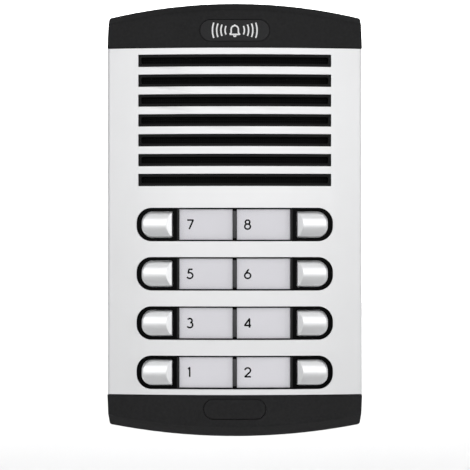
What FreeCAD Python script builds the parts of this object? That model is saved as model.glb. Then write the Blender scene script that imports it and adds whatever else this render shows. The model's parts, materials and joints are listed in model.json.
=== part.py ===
import FreeCAD, Part
import math
import os
from FreeCAD import Vector as V

# Door intercom panel with eight call buttons.
# Millimetres. +Z is up, the front faces -Y, and the wall plane is y = 0.
# z = 0 is the middle of the aluminium face.

# ---- driving dimensions --------------------------------------------------
WIDTH = 131.8            # across the aluminium face
FACE_HALF = 89.3         # half the height of the aluminium face
DEPTH = 38.0             # wall plane to the middle of the face
BOW = 4.0                # how far the face falls back towards its sides
WALL = 2.0               # aluminium wall
EDGE_R = 1.5             # rounded long edges of the extrusion
RIM_GAP = 8.0            # wall plane to the rear rim of the cover

# end caps: heights above the joint at the middle and at the corners
TOP_MIDDLE, TOP_CORNER, TOP_BAND = 23.5, 16.6, 4.0
BOTTOM_MIDDLE, BOTTOM_CORNER, BOTTOM_BAND = 22.2, 16.5, 6.0
CAP_OVER = 0.15          # how far a cap stands outside the face at the joint
CAP_DRAFT = 0.7          # how much narrower it is at its corners
CAP_CORNER_R, CAP_CREASE_R, CAP_RIM_R = 1.6, 2.0, 0.8
CAP_WALL = 2.2
CAP_PLATE = 2.5          # plate that lies on the end of the extrusion
REVEAL = 0.6             # shadow groove between cap and face
TONGUE_HALF, TONGUE_T, TONGUE_GAP = 28.0, 2.0, 2.2
TONGUE_REACH, TONGUE_ROOT = 3.0, 1.0
POCKET_WALL, POCKET_FLOOR = 2.2, 1.4

# screw channels of the extrusion
PORT_R, PORT_BORE = 3.4, 1.6
PORT_SINK = 0.6          # how far a channel sinks into the side wall
PORT_FRONT_Y, PORT_REAR_Y = -29.5, -18.5
CAP_SCREW_R, CAP_SCREW_HEAD_R, CAP_SCREW_HEAD = 1.5, 2.4, 1.8
CAP_SCREW_BITE = 9.0
SCREW_FIT = 0.15         # round a screw's shank
DRIVER_SLOT = 0.35       # half the width of a screw's slot

# speech grille
SLOTS, SLOT_PITCH = 7, 10.25
SLOT_SIDE, SLOT_DROP = 16.1, 6.4    # slot end to the face's side, top slot below the joint
SLOT_H, SLOT_R, COLLAR_R = 6.4, 0.3, 0.7
COLLAR_GAP, COLLAR_WALL, COLLAR_SINK = 0.4, 1.1, 0.4
INSERT_T, CLOTH_T = 1.6, 0.4
INSERT_MARGIN_X, INSERT_MARGIN_Z = 2.5, 2.6
CLOTH_INSET = 1.0

# call-button rows
ROWS, ROW_PITCH = 4, 25.4
ROW_SIDE, ROW_RISE = 15.2, 11.5     # cut-out to the face's side, low row above the joint
CUT_H, CUT_R = 17.3, 7.7
FRAME_FIT, FRAME_SINK = 0.15, 0.2
FRAME_FLANGE_X, FRAME_FLANGE_T, FRAMES_APART = 3.6, 1.4, 3.3
BUTTON_SIDE, BUTTON_W, BUTTON_H = 2.9, 15.6, 13.1
BUTTON_R_IN, BUTTON_R_OUT = 0.6, 5.4
BUTTON_PROUD, BUTTON_VAULT = 3.0, 2.2
FACET_RUN = 3.0
BUTTON_GAP, BUTTON_TRAVEL = 0.3, 1.0
BUTTON_LIP, BUTTON_LIP_T = 1.0, 1.2
CARD_IN, CARD_TO_BUTTON, CARD_H = 1.1, 3.6, 15.8
WINDOW_SINK, WINDOW_T, CARD_T = 0.3, 1.2, 0.35
DIVIDER_SINK = 0.5
GUIDE_LAP, GUIDE_T, GUIDE_FIT = 1.0, 1.6, 0.15
GUIDE_BLOCK_X, GUIDE_BLOCK_Z, LAMP_GAP = 8.0, 5.0, 1.9

# button board, switches and springs
BOARD_BEHIND, BOARD_T = 13.0, 1.6
BOARD_MARGIN_Z = 9.2
POST_BESIDE_CUT, BOARD_POST_R, BOARD_MARGIN_X = 1.1, 2.2, 2.7
SWITCH_IN_BUTTON, SPRING_IN_BUTTON = 4.6, 4.2
SWITCH_SIDE, SWITCH_BODY, PLUNGER_R, PLUNGER_H = 6.0, 3.5, 1.6, 0.5
SWITCH_CLEAR = 0.05
SPRING_R, SPRING_WIRE_R, SPRING_TURNS, SPRING_STEPS = 2.4, 0.25, 4, 12
SPRING_END_GAP = 0.02
LED_X, LED_SIDE, LED_TALL, LED_H = 15.0, 3.2, 0.9, 1.8

# speaker
SPEAKER_DROP, SPEAKER_R = 37.3, 28.5
SPEAKER_BEHIND = 6.3     # front of the speaker's rim behind the face
RIM_T, RIM_W, GASKET_RING_W = 1.2, 2.5, 3.5
MAGNET_R, MAGNET_T, MAGNET_EDGE = 15.0, 6.5, 0.6
BASKET_DEPTH, BASKET_RIM, BASKET_PLATE_T, COIL_R = 10.7, 3.6, 1.2, 6.0
BASKET_WALL, BASKET_WINDOWS, BASKET_WINDOW_W = 0.9, 6, 8.0
CONE_DEPTH, COIL_T, COIL_L = 5.2, 0.5, 3.2
CLAMP_INSET, CLAMP_POST_R, CLAMP_T, CLAMP_W, CLAMP_LAP = 4.0, 3.0, 1.2, 4.8, 2.0
TAG_STRIP_W, TAG_STRIP_DROP = 12.0, 8.0

# microphone
MIC_IN_SLOT, MIC_R, MIC_LENGTH, MIC_BOOT = 7.8, 4.85, 6.5, 1.5
MIC_BEHIND_CLOTH, MIC_PORT_R, BOOT_SHORT = 1.3, 1.0, 1.2

# audio board
AUDIO_FRONT_Y, AUDIO_T = -16.0, 1.6
AUDIO_HALF_W, AUDIO_H, AUDIO_RISE = 45.0, 60.0, 14.3
STANDOFF_INSET, STANDOFF_R = 4.5, 2.75
TRIMMER_X = (-16.0, -28.0)
TRIMMER_DROP, TRIMMER_SIDE, TRIMMER_TALL = 18.0, 7.0, 4.0
ROTOR_R, ROTOR_T, ROTOR_SHAFT_R, ROTOR_FIT, ROTOR_BORE = 2.4, 1.1, 1.0, 0.05, 2.5
TERMINALS, TERMINAL_PITCH, TERMINAL_TALL, TERMINAL_H = 6, 5.0, 8.5, 9.0
TERMINAL_RISE, TERMINAL_WELL_R, TERMINAL_WELL, TERMINAL_SCREW_R = 8.0, 1.9, 3.0, 1.75
HEADER_W, HEADER_H, HEADER_DROP = 20.0, 5.0, 30.5
PLUG_TALL, PLUG_DROP, LEAD_PLUG_W = 5.0, 6.0, 5.6
SPEAKER_PLUG_X, MIC_PLUG_X = 26.0, 35.5
# chips: x, below the board's top, width, height, thickness
CHIPS = ((14, 27, 12, 8, 1.8), (-12, 35, 8, 6, 1.6), (32, 35, 5, 6, 1.5))
# capacitors: x, below the board's top, radius, length
CANS = ((30, 23, 4.0, 8.0), (-34, 35, 3.2, 7.0), (2, 15, 2.5, 5.5))
CAN_EDGE = 0.5
SPEAKER_LEAD_R, MIC_LEAD_R = 0.6, 0.35

# small pan-head screws
SCREW_R, SCREW_HEAD_R, SCREW_HEAD, SCREW_BITE = 1.1, 2.0, 1.4, 4.0

# back box
BOX_INSET = 3.5          # inside the cover's outline at the sides
BOX_TOP_INSET = 4.2      # and at the top and bottom
BOX_WALL, BOX_FLOOR = 2.0, 2.5
BOX_LAP = 6.0            # how far it reaches into the cover
BOX_CORNER_R = 3.0
WALL_HOLE_R, WALL_HOLE_SIDE, WALL_HOLE_END = 2.25, 20.9, 9.3
RIB_X, RIB_T, RIB_RISE, RIB_HALF = 30.0, 1.5, 2.5, 60.0
GASKET_W, GASKET_T, GASKET_EDGE = 3.0, 1.2, 2.2
CABLE_Z, CABLE_HOLE_R, CABLE_BORE_R = 20.0, 9.0, 5.0
GROMMET_LIP, GROMMET_REAR, GROMMET_FRONT = 2.5, 1.0, 1.5

# hinge along the top of the box
PIVOT_Y, PIVOT_ABOVE_FACE = -6.0, 8.2
PIN_R, PIN_FIT, HOOK_WALL = 1.5, 0.05, 1.25
HINGE_X, HOOK_W, CHEEK_T, HINGE_GAP = 32.0, 8.0, 2.5, 0.4
HOOK_MOUTH, HOOK_ARM_Y, HOOK_ARM_Z = 2.6, 5.0, 3.0
CHEEK_HALF = 3.0

# lock screw under the oval cover
LOCK_BELOW_FACE, LOCK_HEAD_BEHIND, LOCK_TIP_Y = 7.3, 5.0, -8.0
LOCK_R, LOCK_HEAD_R, LOCK_HEAD = 2.0, 3.8, 3.0
LOCK_SLOT, LOCK_SLOT_DEEP, LOCK_POINT = 0.5, 1.4, 0.6
LOCK_HEAD_FIT, LOCK_FIT, COLUMN_WALL, COLUMN_GAP = 0.4, 0.2, 2.0, 2.0
LOCK_BOSS_R, LOCK_BOSS_Y = 5.0, -12.0
INSERT_R, INSERT_BORE_R, INSERT_L = 3.2, 2.4, 6.0
PLUG_W, PLUG_H, PLUG_T, PLUG_GAP = 31.9, 10.2, 1.9, 0.3
PLUG_PEG_X, PLUG_PEG_R, PLUG_PEG_L = 11.0, 1.5, 3.0
BADGE_ABOVE_FACE = 9.0
BADGE_W, BADGE_H, BADGE_T, BADGE_GAP = 35.8, 10.9, 1.2, 0.25

# ---- values worked out from them -----------------------------------------
BOW_R = (WIDTH ** 2 / 4 + BOW ** 2) / (2 * BOW)
HALF = WIDTH / 2
REACH = 2 * WIDTH
PORT_X = HALF - WALL - PORT_R + PORT_SINK
SLOT_W = WIDTH - 2 * SLOT_SIDE
CUT_W = WIDTH - 2 * ROW_SIDE
BUTTON_OUT = CUT_W / 2 - BUTTON_SIDE
BUTTON_IN = BUTTON_OUT - BUTTON_W
CARD_OUT = BUTTON_IN - CARD_TO_BUTTON
SWITCH_X = BUTTON_OUT - SWITCH_IN_BUTTON
SPRING_X = BUTTON_IN + SPRING_IN_BUTTON
BOARD_POST_X = CUT_W / 2 + POST_BESIDE_CUT
BOARD_HALF_W = BOARD_POST_X + BOARD_MARGIN_X
BOARD_FRONT_Y = BOARD_BEHIND - DEPTH
ROW_Z = [ROW_RISE - FACE_HALF + ROW_PITCH * (ROWS - 1 - i) for i in range(ROWS)]
SLOT_Z = [FACE_HALF - SLOT_DROP - SLOT_PITCH * i for i in range(SLOTS)]
SPEAKER_Z = FACE_HALF - SPEAKER_DROP
SPEAKER_SEAT_Y = SPEAKER_BEHIND - DEPTH
MAGNET_FRONT_Y = SPEAKER_SEAT_Y + BASKET_DEPTH
BASKET_MOUTH_R = SPEAKER_R - BASKET_RIM
CLAMP_AT = SPEAKER_R - CLAMP_INSET
MIC_X = SLOT_W / 2 - MIC_IN_SLOT
AUDIO_TOP_Z = AUDIO_RISE + AUDIO_H - FACE_HALF
TRIMMER_Z = AUDIO_TOP_Z - TRIMMER_DROP
TERMINAL_Z = AUDIO_TOP_Z - AUDIO_H + TERMINAL_RISE
HEADER_Z = AUDIO_TOP_Z - HEADER_DROP
WALL_HOLE_X, WALL_HOLE_Z = HALF - WALL_HOLE_SIDE, FACE_HALF - WALL_HOLE_END
PIVOT_Z = FACE_HALF + PIVOT_ABOVE_FACE
LOCK_Z = -FACE_HALF - LOCK_BELOW_FACE
LOCK_HEAD_Y = LOCK_HEAD_BEHIND - DEPTH
BADGE_Z = FACE_HALF + BADGE_ABOVE_FACE
MIC_Z = SLOT_Z[-1]
FRAME_BACK = WALL + FRAME_FLANGE_T
FRAME_FLANGE_Z = (ROW_PITCH - CUT_H - FRAMES_APART) / 2
CLOTH_BACK = WALL + INSERT_T + CLOTH_T
BOARD_BACK_Y = BOARD_FRONT_Y + BOARD_T
MAGNET_REAR_Y = MAGNET_FRONT_Y + MAGNET_T
AUDIO_BACK_Y = AUDIO_FRONT_Y + AUDIO_T
LEAD_END_Z = AUDIO_TOP_Z - 1.9
LEAD_Y = AUDIO_BACK_Y + PLUG_TALL / 2
BOARD_TOP_Z = ROW_Z[0] + BOARD_MARGIN_Z
BOARD_LOW_Z = ROW_Z[-1] - BOARD_MARGIN_Z
PLATE_REAR_Y = -RIM_GAP - BOX_LAP - 1.0
SIDES = (-1, 1)


# ---- helpers -------------------------------------------------------------
def face_y(x, depth=0.0):
    """y of the bowed surface that lies depth behind the face, at x."""
    return BOW_R - DEPTH - math.sqrt((BOW_R - depth) ** 2 - x ** 2)


def bow(depth):
    """Everything behind the bowed surface at that depth."""
    start = V(0, BOW_R - DEPTH, -REACH)
    return Part.makeCylinder(BOW_R - depth, 2 * REACH, start, V(0, 0, 1))


def box(x0, x1, y0, y1, z0, z1):
    return Part.makeBox(x1 - x0, y1 - y0, z1 - z0, V(x0, y0, z0))


def rod(x, z, radius, y0, y1):
    """Cylinder along Y."""
    return Part.makeCylinder(radius, y1 - y0, V(x, y0, z), V(0, 1, 0))


def ring(x, z, outer, inner, y0, y1):
    return rod(x, z, outer, y0, y1).cut(rod(x, z, inner, y0, y1))


def fuse(shapes):
    return shapes[0].multiFuse(shapes[1:]).removeSplitter()


def arc(a, b, c):
    return Part.Arc(a, b, c).toShape()


def line(a, b):
    return Part.LineSegment(a, b).toShape()


def rounded(x0, x1, z0, z1, r_left, r_right, y0, y1):
    """Prism along Y: a rectangle with one radius per side."""
    k = 1 - math.sqrt(0.5)
    edges = []
    corners = ((x0, z0, r_left, 1, 1), (x1, z0, r_right, -1, 1),
               (x1, z1, r_right, -1, -1), (x0, z1, r_left, 1, -1))
    last = None
    first = None
    for x, z, r, sx, sz in corners:
        along_z = V(x, y0, z + sz * r)
        middle = V(x + sx * k * r, y0, z + sz * k * r)
        along_x = V(x + sx * r, y0, z)
        start, end = (along_z, along_x) if sx == sz else (along_x, along_z)
        if last is not None and last.distanceToPoint(start) > 1e-6:
            edges.append(line(last, start))
        edges.append(arc(start, middle, end))
        first = first or start
        last = end
    if last.distanceToPoint(first) > 1e-6:
        edges.append(line(last, first))
    return Part.Face(Part.Wire(edges)).extrude(V(0, y1 - y0, 0))


def pill(w, h, z, grow, y0, y1):
    """Stadium prism along Y on the centre line, grown all round."""
    half_w, half_h = w / 2 + grow, h / 2 + grow
    r = half_h - 0.001
    return rounded(-half_w, half_w, z - half_h, z + half_h, r, r, y0, y1)


def slab(x0, x1, z0, z1, d0, d1):
    """Bowed plate between two depths behind the face."""
    middle = (x0 + x1) / 2
    a = V(x0, face_y(x0, d0), z0)
    b = V(x1, face_y(x1, d0), z0)
    c = V(x1, face_y(x1, d1), z0)
    d = V(x0, face_y(x0, d1), z0)
    front = arc(a, V(middle, face_y(middle, d0), z0), b)
    back = arc(c, V(middle, face_y(middle, d1), z0), d)
    wire = Part.Wire([front, line(b, c), back, line(d, a)])
    return Part.Face(wire).extrude(V(0, 0, z1 - z0))


def between(prism, d0, d1):
    """The part of a prism along Y that lies between two depths."""
    b = prism.BoundBox
    return prism.common(slab(b.XMin - 1, b.XMax + 1, b.ZMin - 1, b.ZMax + 1, d0, d1))


def through(x0, x1, z0, z1, r_left, r_right, d0, d1):
    """Rounded bowed plate."""
    return between(rounded(x0, x1, z0, z1, r_left, r_right, -DEPTH - 20, 0), d0, d1)


def revolved(points, x, z):
    """Turned part about an axis along Y; points are (radius, y)."""
    corners = [V(r, y, 0) for r, y in points]
    wire = Part.makePolygon(corners + corners[:1])
    part = Part.Face(wire).revolve(V(0, 0, 0), V(0, 1, 0), 360)
    part.translate(V(x, 0, z))
    return part


def mirrored(shape):
    return shape.mirror(V(0, 0, 0), V(1, 0, 0))


def pan_screw(x, z, seat_y, bite=SCREW_BITE):
    """Small screw driven towards -Y, its head behind seat_y."""
    shank = rod(x, z, SCREW_R, seat_y - bite, seat_y)
    head = rod(x, z, SCREW_HEAD_R, seat_y, seat_y + SCREW_HEAD)
    slot = box(x - SCREW_HEAD_R, x + SCREW_HEAD_R, seat_y + SCREW_HEAD * 0.5,
               seat_y + SCREW_HEAD, z - DRIVER_SLOT, z + DRIVER_SLOT)
    return fuse([shank, head]).cut(slot)


def save(node, *shapes):
    shape = shapes[0] if len(shapes) == 1 else Part.makeCompound(list(shapes))
    shape.exportStep("parts/" + node + ".step")


# ---- cover: extrusion and end caps ---------------------------------------
def slot_prism(z, shrink, d0, d1):
    w, h = SLOT_W / 2 - shrink, SLOT_H / 2 - shrink
    r = SLOT_R if shrink < COLLAR_GAP + COLLAR_WALL else COLLAR_R
    return through(-w, w, z - h, z + h, r, r, d0, d1)


def face_profile():
    outer = slab(-HALF, HALF, -FACE_HALF, FACE_HALF, 0, DEPTH)
    outer = outer.common(box(-HALF, HALF, -DEPTH - 1, -RIM_GAP, -FACE_HALF, FACE_HALF))
    long_edges = [e for e in outer.Edges
                  if e.BoundBox.ZLength > FACE_HALF and e.BoundBox.YMax < -DEPTH / 2]
    outer = outer.makeFillet(EDGE_R, long_edges)
    inner_half = HALF - WALL
    inner = slab(-inner_half, inner_half, -REACH, REACH, WALL, DEPTH)
    shell = outer.cut(inner)
    ports = []
    bores = []
    for side in SIDES:
        for y in (PORT_FRONT_Y, PORT_REAR_Y):
            foot = V(side * PORT_X, y, -FACE_HALF)
            ports.append(Part.makeCylinder(PORT_R, 2 * FACE_HALF, foot))
            bores.append(Part.makeCylinder(PORT_BORE, 2 * FACE_HALF, foot))
    shell = fuse([shell] + ports)
    cuts = [slot_prism(z, 0, -1, WALL + 1) for z in SLOT_Z]
    for z in ROW_Z:
        cuts.append(through(-CUT_W / 2, CUT_W / 2, z - CUT_H / 2, z + CUT_H / 2,
                            CUT_R, CUT_R, -1, WALL + 1))
    return shell.cut(Part.makeCompound(cuts + bores))


def cap_block(sign, middle, corner, band, inset, lift, rear_y):
    """Solid end cap: drafted sides, arched end, sloping band at the front."""
    z0 = sign * (FACE_HALF + lift)
    low = HALF + CAP_OVER - inset
    high = low - CAP_DRAFT
    z1 = sign * (FACE_HALF + corner - inset)
    z2 = sign * (FACE_HALF + middle - inset)
    y = -DEPTH - 20
    a, b, c, d = V(-low, y, z0), V(-high, y, z1), V(high, y, z1), V(low, y, z0)
    wire = Part.Wire([line(a, b), arc(b, V(0, y, z2), c), line(c, d), line(d, a)])
    block = Part.Face(wire).extrude(V(0, rear_y - y, 0)).common(bow(inset))

    def away_from_joint(edge):
        return min(abs(edge.BoundBox.ZMin - z0), abs(edge.BoundBox.ZMax - z0)) > 3

    def arches(shape):
        return [e for e in shape.Edges if e.BoundBox.XLength > HALF
                and e.BoundBox.YMax < rear_y - 5 and away_from_joint(e)]
    block = block.makeChamfer(band, arches(block))
    crease = min(arches(block), key=lambda e: e.BoundBox.YMax)
    block = block.makeFillet(CAP_CREASE_R, [crease])
    corners = [e for e in block.Edges if max(e.BoundBox.XLength, e.BoundBox.ZLength) < 0.01
               and away_from_joint(e)]
    block = block.makeFillet(max(CAP_CORNER_R - inset / 2, 0.5), corners)
    if inset:
        return block
    sides = [e for e in block.Edges if e.BoundBox.XLength < 3 and e.BoundBox.YMax < rear_y - 5
             and e.BoundBox.YLength + e.BoundBox.ZLength > 0.5]
    top = [e for e in arches(block) if e.BoundBox.YMin > band - 1 - DEPTH]
    return block.makeFillet(CAP_RIM_R, sides + top)


def cap_shell(sign, middle, corner, band):
    """Hollow cap, open at the rear, with a plate on the extrusion's end."""
    block = cap_block(sign, middle, corner, band, 0, 0, -RIM_GAP)
    hollow = cap_block(sign, middle, corner, band, CAP_WALL, CAP_PLATE, 1.0)
    # below the plate's rear edge the cap is open as well
    low, high = sorted((sign * (FACE_HALF - 1), sign * (FACE_HALF + CAP_PLATE)))
    inner = HALF - CAP_WALL
    behind = box(-inner, inner, PLATE_REAR_Y, 1, low, high)
    # shadow groove at the joint
    groove_z = sorted((sign * FACE_HALF, sign * (FACE_HALF + REVEAL)))
    wide = box(-HALF - 2, HALF + 2, -DEPTH - 2, 0, *groove_z)
    core = slab(-HALF + REVEAL, HALF - REVEAL, groove_z[0], groove_z[1], REVEAL, DEPTH)
    shell = block.cut(Part.makeCompound([hollow, behind, wide.cut(core)]))
    # tongue that locates the cap behind the face
    tongue_z = sorted((sign * (FACE_HALF - TONGUE_REACH), sign * (FACE_HALF + TONGUE_ROOT)))
    tongue_d = WALL + TONGUE_GAP
    tongue = slab(-TONGUE_HALF, TONGUE_HALF, tongue_z[0], tongue_z[1],
                  tongue_d, tongue_d + TONGUE_T)
    plate_low = min(sign * FACE_HALF, sign * (FACE_HALF + CAP_PLATE))
    holes = [Part.makeCylinder(CAP_SCREW_R + SCREW_FIT, CAP_PLATE, V(s * PORT_X, y, plate_low))
             for s in SIDES for y in (PORT_FRONT_Y, PORT_REAR_Y)]
    return fuse([shell, tongue]).cut(Part.makeCompound(holes))


def pocket_wall(z, w, h, depth):
    """Wall round and behind a pill-shaped pocket in a cap."""
    return between(pill(w, h, z, POCKET_WALL, -DEPTH - 20, 0), CAP_WALL / 2, depth)


def hinge_hook(x):
    """Arm from the top cap's plate that ends in a hook round the pin."""
    x0, x1 = x - HOOK_W / 2, x + HOOK_W / 2
    outer = PIN_R + PIN_FIT + HOOK_WALL
    plate_z = FACE_HALF + CAP_PLATE
    low_y, low_z = PIVOT_Y - outer / 2, PIVOT_Z - outer * math.sqrt(0.75)
    side = [(PLATE_REAR_Y - HOOK_ARM_Y, plate_z), (PLATE_REAR_Y, FACE_HALF), (low_y, low_z),
            (PIVOT_Y, PIVOT_Z + outer), (PLATE_REAR_Y - HOOK_ARM_Y, plate_z + HOOK_ARM_Z)]
    corners = [V(x0, y, z) for y, z in side]
    arm = Part.Face(Part.makePolygon(corners + corners[:1])).extrude(V(HOOK_W, 0, 0))
    eye = Part.makeCylinder(outer, HOOK_W, V(x0, PIVOT_Y, PIVOT_Z), V(1, 0, 0))
    hole = Part.makeCylinder(PIN_R + PIN_FIT, HOOK_W, V(x0, PIVOT_Y, PIVOT_Z), V(1, 0, 0))
    half_mouth = HOOK_MOUTH / 2
    mouth = box(x0, x1, PIVOT_Y - half_mouth, PIVOT_Y + half_mouth,
                PIVOT_Z - outer - 1, PIVOT_Z)
    return fuse([arm, eye]).cut(Part.makeCompound([hole, mouth]))


def top_cap():
    shell = cap_shell(1, TOP_MIDDLE, TOP_CORNER, TOP_BAND)
    seat = pocket_wall(BADGE_Z, BADGE_W, BADGE_H, BADGE_T + CAP_WALL)
    hooks = [hinge_hook(side * HINGE_X) for side in SIDES]
    cap = fuse([shell, seat] + hooks)
    pocket = between(pill(BADGE_W, BADGE_H, BADGE_Z, BADGE_GAP, -DEPTH - 20, 0), -1, BADGE_T)
    return cap.cut(pocket)


def badge():
    return between(pill(BADGE_W, BADGE_H, BADGE_Z, 0, -DEPTH - 20, 0), 0, BADGE_T)


def bottom_cap():
    shell = cap_shell(-1, BOTTOM_MIDDLE, BOTTOM_CORNER, BOTTOM_BAND)
    pocket_depth = PLUG_T + PLUG_GAP
    seat = pocket_wall(LOCK_Z, PLUG_W, PLUG_H, pocket_depth + POCKET_FLOOR)
    column_end = LOCK_BOSS_Y - COLUMN_GAP
    column = rod(0, LOCK_Z, LOCK_HEAD_R + COLUMN_WALL, face_y(0, pocket_depth), column_end)
    cap = fuse([shell, seat, column])
    pocket = between(pill(PLUG_W, PLUG_H, LOCK_Z, PLUG_GAP, -DEPTH - 20, 0), -1, pocket_depth)
    head_way = rod(0, LOCK_Z, LOCK_HEAD_R + LOCK_HEAD_FIT, -DEPTH, LOCK_HEAD_Y + LOCK_HEAD)
    shank_way = rod(0, LOCK_Z, LOCK_R + LOCK_FIT, -DEPTH, column_end)
    pegs = [rod(s * PLUG_PEG_X, LOCK_Z, PLUG_PEG_R + PLUG_GAP, -DEPTH,
                face_y(0, pocket_depth) + PLUG_PEG_L + 2) for s in SIDES]
    return cap.cut(Part.makeCompound([pocket, head_way, shank_way] + pegs))


def screw_cover():
    plate = between(pill(PLUG_W, PLUG_H, LOCK_Z, 0, -DEPTH - 20, 0), 0, PLUG_T)
    back = face_y(0, PLUG_T)
    pegs = [rod(s * PLUG_PEG_X, LOCK_Z, PLUG_PEG_R, back - 0.5, back + PLUG_PEG_L)
            for s in SIDES]
    return fuse([plate] + pegs)


def lock_screw():
    head = rod(0, LOCK_Z, LOCK_HEAD_R, LOCK_HEAD_Y, LOCK_HEAD_Y + LOCK_HEAD)
    shank = rod(0, LOCK_Z, LOCK_R, LOCK_HEAD_Y, LOCK_TIP_Y)
    tip = [e for e in shank.Edges if e.BoundBox.YMin > LOCK_TIP_Y - 0.1]
    shank = shank.makeChamfer(LOCK_POINT, tip)
    slot = box(-LOCK_HEAD_R, LOCK_HEAD_R, LOCK_HEAD_Y, LOCK_HEAD_Y + LOCK_SLOT_DEEP,
               LOCK_Z - LOCK_SLOT, LOCK_Z + LOCK_SLOT)
    return fuse([head, shank]).cut(slot)


def cap_screws():
    screws = []
    for sign in SIDES:
        seat = FACE_HALF + CAP_PLATE
        for s in SIDES:
            for y in (PORT_FRONT_Y, PORT_REAR_Y):
                shank = Part.makeCylinder(CAP_SCREW_R, CAP_SCREW_BITE + CAP_PLATE,
                                          V(s * PORT_X, y, seat - CAP_PLATE - CAP_SCREW_BITE))
                head = Part.makeCylinder(CAP_SCREW_HEAD_R, CAP_SCREW_HEAD,
                                         V(s * PORT_X, y, seat))
                slot = box(s * PORT_X - CAP_SCREW_HEAD_R, s * PORT_X + CAP_SCREW_HEAD_R,
                           y - DRIVER_SLOT, y + DRIVER_SLOT, seat + CAP_SCREW_HEAD / 2,
                           seat + CAP_SCREW_HEAD)
                screw = fuse([shank, head]).cut(slot)
                if sign < 0:
                    screw = screw.mirror(V(0, 0, 0), V(0, 0, 1))
                screws.append(screw)
    return screws


# ---- speech grille, speaker, microphone ----------------------------------
def clamp_places():
    return [(sx * CLAMP_AT, SPEAKER_Z + sz * CLAMP_AT) for sx in SIDES for sz in SIDES]


def insert_rect():
    half = SLOT_W / 2 + INSERT_MARGIN_X
    low = SLOT_Z[-1] - SLOT_H / 2 - INSERT_MARGIN_Z
    high = SLOT_Z[0] + SLOT_H / 2 + INSERT_MARGIN_Z
    return half, low, high


def grille_insert():
    half, low, high = insert_rect()
    plate = slab(-half, half, low, high, WALL, WALL + INSERT_T)
    collars = [slot_prism(z, COLLAR_GAP, COLLAR_SINK, WALL + 0.2) for z in SLOT_Z]
    seat_y = SPEAKER_SEAT_Y + RIM_T
    posts = [rod(x, z, CLAMP_POST_R, face_y(x, WALL + 0.4), seat_y)
             for x, z in clamp_places()]
    body = fuse([plate] + collars + posts)
    open_ = [slot_prism(z, COLLAR_GAP + COLLAR_WALL, -1, WALL + INSERT_T + 1) for z in SLOT_Z]
    pilots = [rod(x, z, SCREW_R, seat_y - SCREW_BITE + 1, seat_y) for x, z in clamp_places()]
    # the clamp posts run past the slots, so only the plate and collars are cut
    posts_only = Part.makeCompound([p.common(slab(-half, half, low, high, WALL + INSERT_T, 12))
                                    for p in posts])
    return fuse([body.cut(Part.makeCompound(open_))] + posts_only.Solids
                ).cut(Part.makeCompound(pilots))


def speaker_cloth():
    half, low, high = insert_rect()
    cloth = slab(-half + CLOTH_INSET, half - CLOTH_INSET, low + CLOTH_INSET, high - CLOTH_INSET,
                 WALL + INSERT_T, CLOTH_BACK)
    holes = [rod(x, z, CLAMP_POST_R + COLLAR_SINK, -DEPTH, 0) for x, z in clamp_places()]
    return cloth.cut(Part.makeCompound(holes))


def speaker_gasket():
    tube = ring(0, SPEAKER_Z, SPEAKER_R, SPEAKER_R - GASKET_RING_W, -DEPTH, SPEAKER_SEAT_Y)
    return tube.common(bow(CLOTH_BACK))


def basket_throat(y):
    """Inner radius of the basket's cone at y."""
    slope = (BASKET_MOUTH_R - MAGNET_R) / (MAGNET_FRONT_Y - BASKET_PLATE_T - SPEAKER_SEAT_Y)
    return BASKET_MOUTH_R - slope * (y - SPEAKER_SEAT_Y)


def speaker_basket():
    y = SPEAKER_SEAT_Y
    plate_y = MAGNET_FRONT_Y
    basket = revolved([(SPEAKER_R, y), (SPEAKER_R, y + RIM_T), (SPEAKER_R - RIM_W, y + RIM_T),
                       (MAGNET_R + 1, plate_y - BASKET_WALL), (MAGNET_R + 1, plate_y),
                       (COIL_R - 1.0, plate_y), (COIL_R - 1.0, plate_y - BASKET_PLATE_T),
                       (MAGNET_R, plate_y - BASKET_PLATE_T), (BASKET_MOUTH_R, y)],
                      0, SPEAKER_Z)
    windows = []
    half = BASKET_WINDOW_W / 2
    for i in range(BASKET_WINDOWS):
        window = box(-half, half, y + 2 * RIM_T, plate_y - 2 * BASKET_PLATE_T,
                     MAGNET_R, SPEAKER_R + 2)
        window.rotate(V(0, 0, 0), V(0, 1, 0), 360 / BASKET_WINDOWS * (i + 0.5))
        window.translate(V(0, 0, SPEAKER_Z))
        windows.append(window)
    return basket.cut(Part.makeCompound(windows))


def speaker_cone():
    """Paper cone with its voice coil tube and a domed cap."""
    rim_y = SPEAKER_SEAT_Y + 0.2
    coil_y = rim_y + CONE_DEPTH
    outer = COIL_R + COIL_T
    return revolved([(basket_throat(rim_y), rim_y), (basket_throat(rim_y + COIL_T), rim_y + COIL_T),
                     (outer, coil_y + COIL_T), (outer, coil_y + COIL_L),
                     (COIL_R - 0.1, coil_y + COIL_L), (COIL_R - 0.1, coil_y + 0.1),
                     (0, coil_y - 1.4), (0, coil_y - 2.0), (COIL_R, coil_y - 0.4),
                     (BASKET_MOUTH_R - 2.4, rim_y + 0.1)], 0, SPEAKER_Z)


def speaker_magnet():
    magnet = rod(0, SPEAKER_Z, MAGNET_R, MAGNET_FRONT_Y, MAGNET_REAR_Y)
    rims = [e for e in magnet.Edges if e.BoundBox.YLength < 0.01]
    return magnet.makeChamfer(MAGNET_EDGE, rims)


def speaker_clamps():
    clamps = []
    seat = SPEAKER_SEAT_Y + RIM_T
    for x, z in clamp_places():
        foot = rod(x, z, CLAMP_POST_R + 0.8, seat, seat + CLAMP_T)
        reach = math.hypot(CLAMP_AT, CLAMP_AT) - SPEAKER_R + CLAMP_LAP
        arm = box(-CLAMP_W / 2, CLAMP_W / 2, seat, seat + CLAMP_T, -reach, 0)
        angle = math.degrees(math.atan2(x, z - SPEAKER_Z))
        arm.rotate(V(0, 0, 0), V(0, 1, 0), angle)
        arm.translate(V(x, 0, z))
        hole = rod(x, z, SCREW_R + SCREW_FIT, seat, seat + CLAMP_T)
        clamps.append(fuse([foot, arm]).cut(hole))
    return clamps


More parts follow.
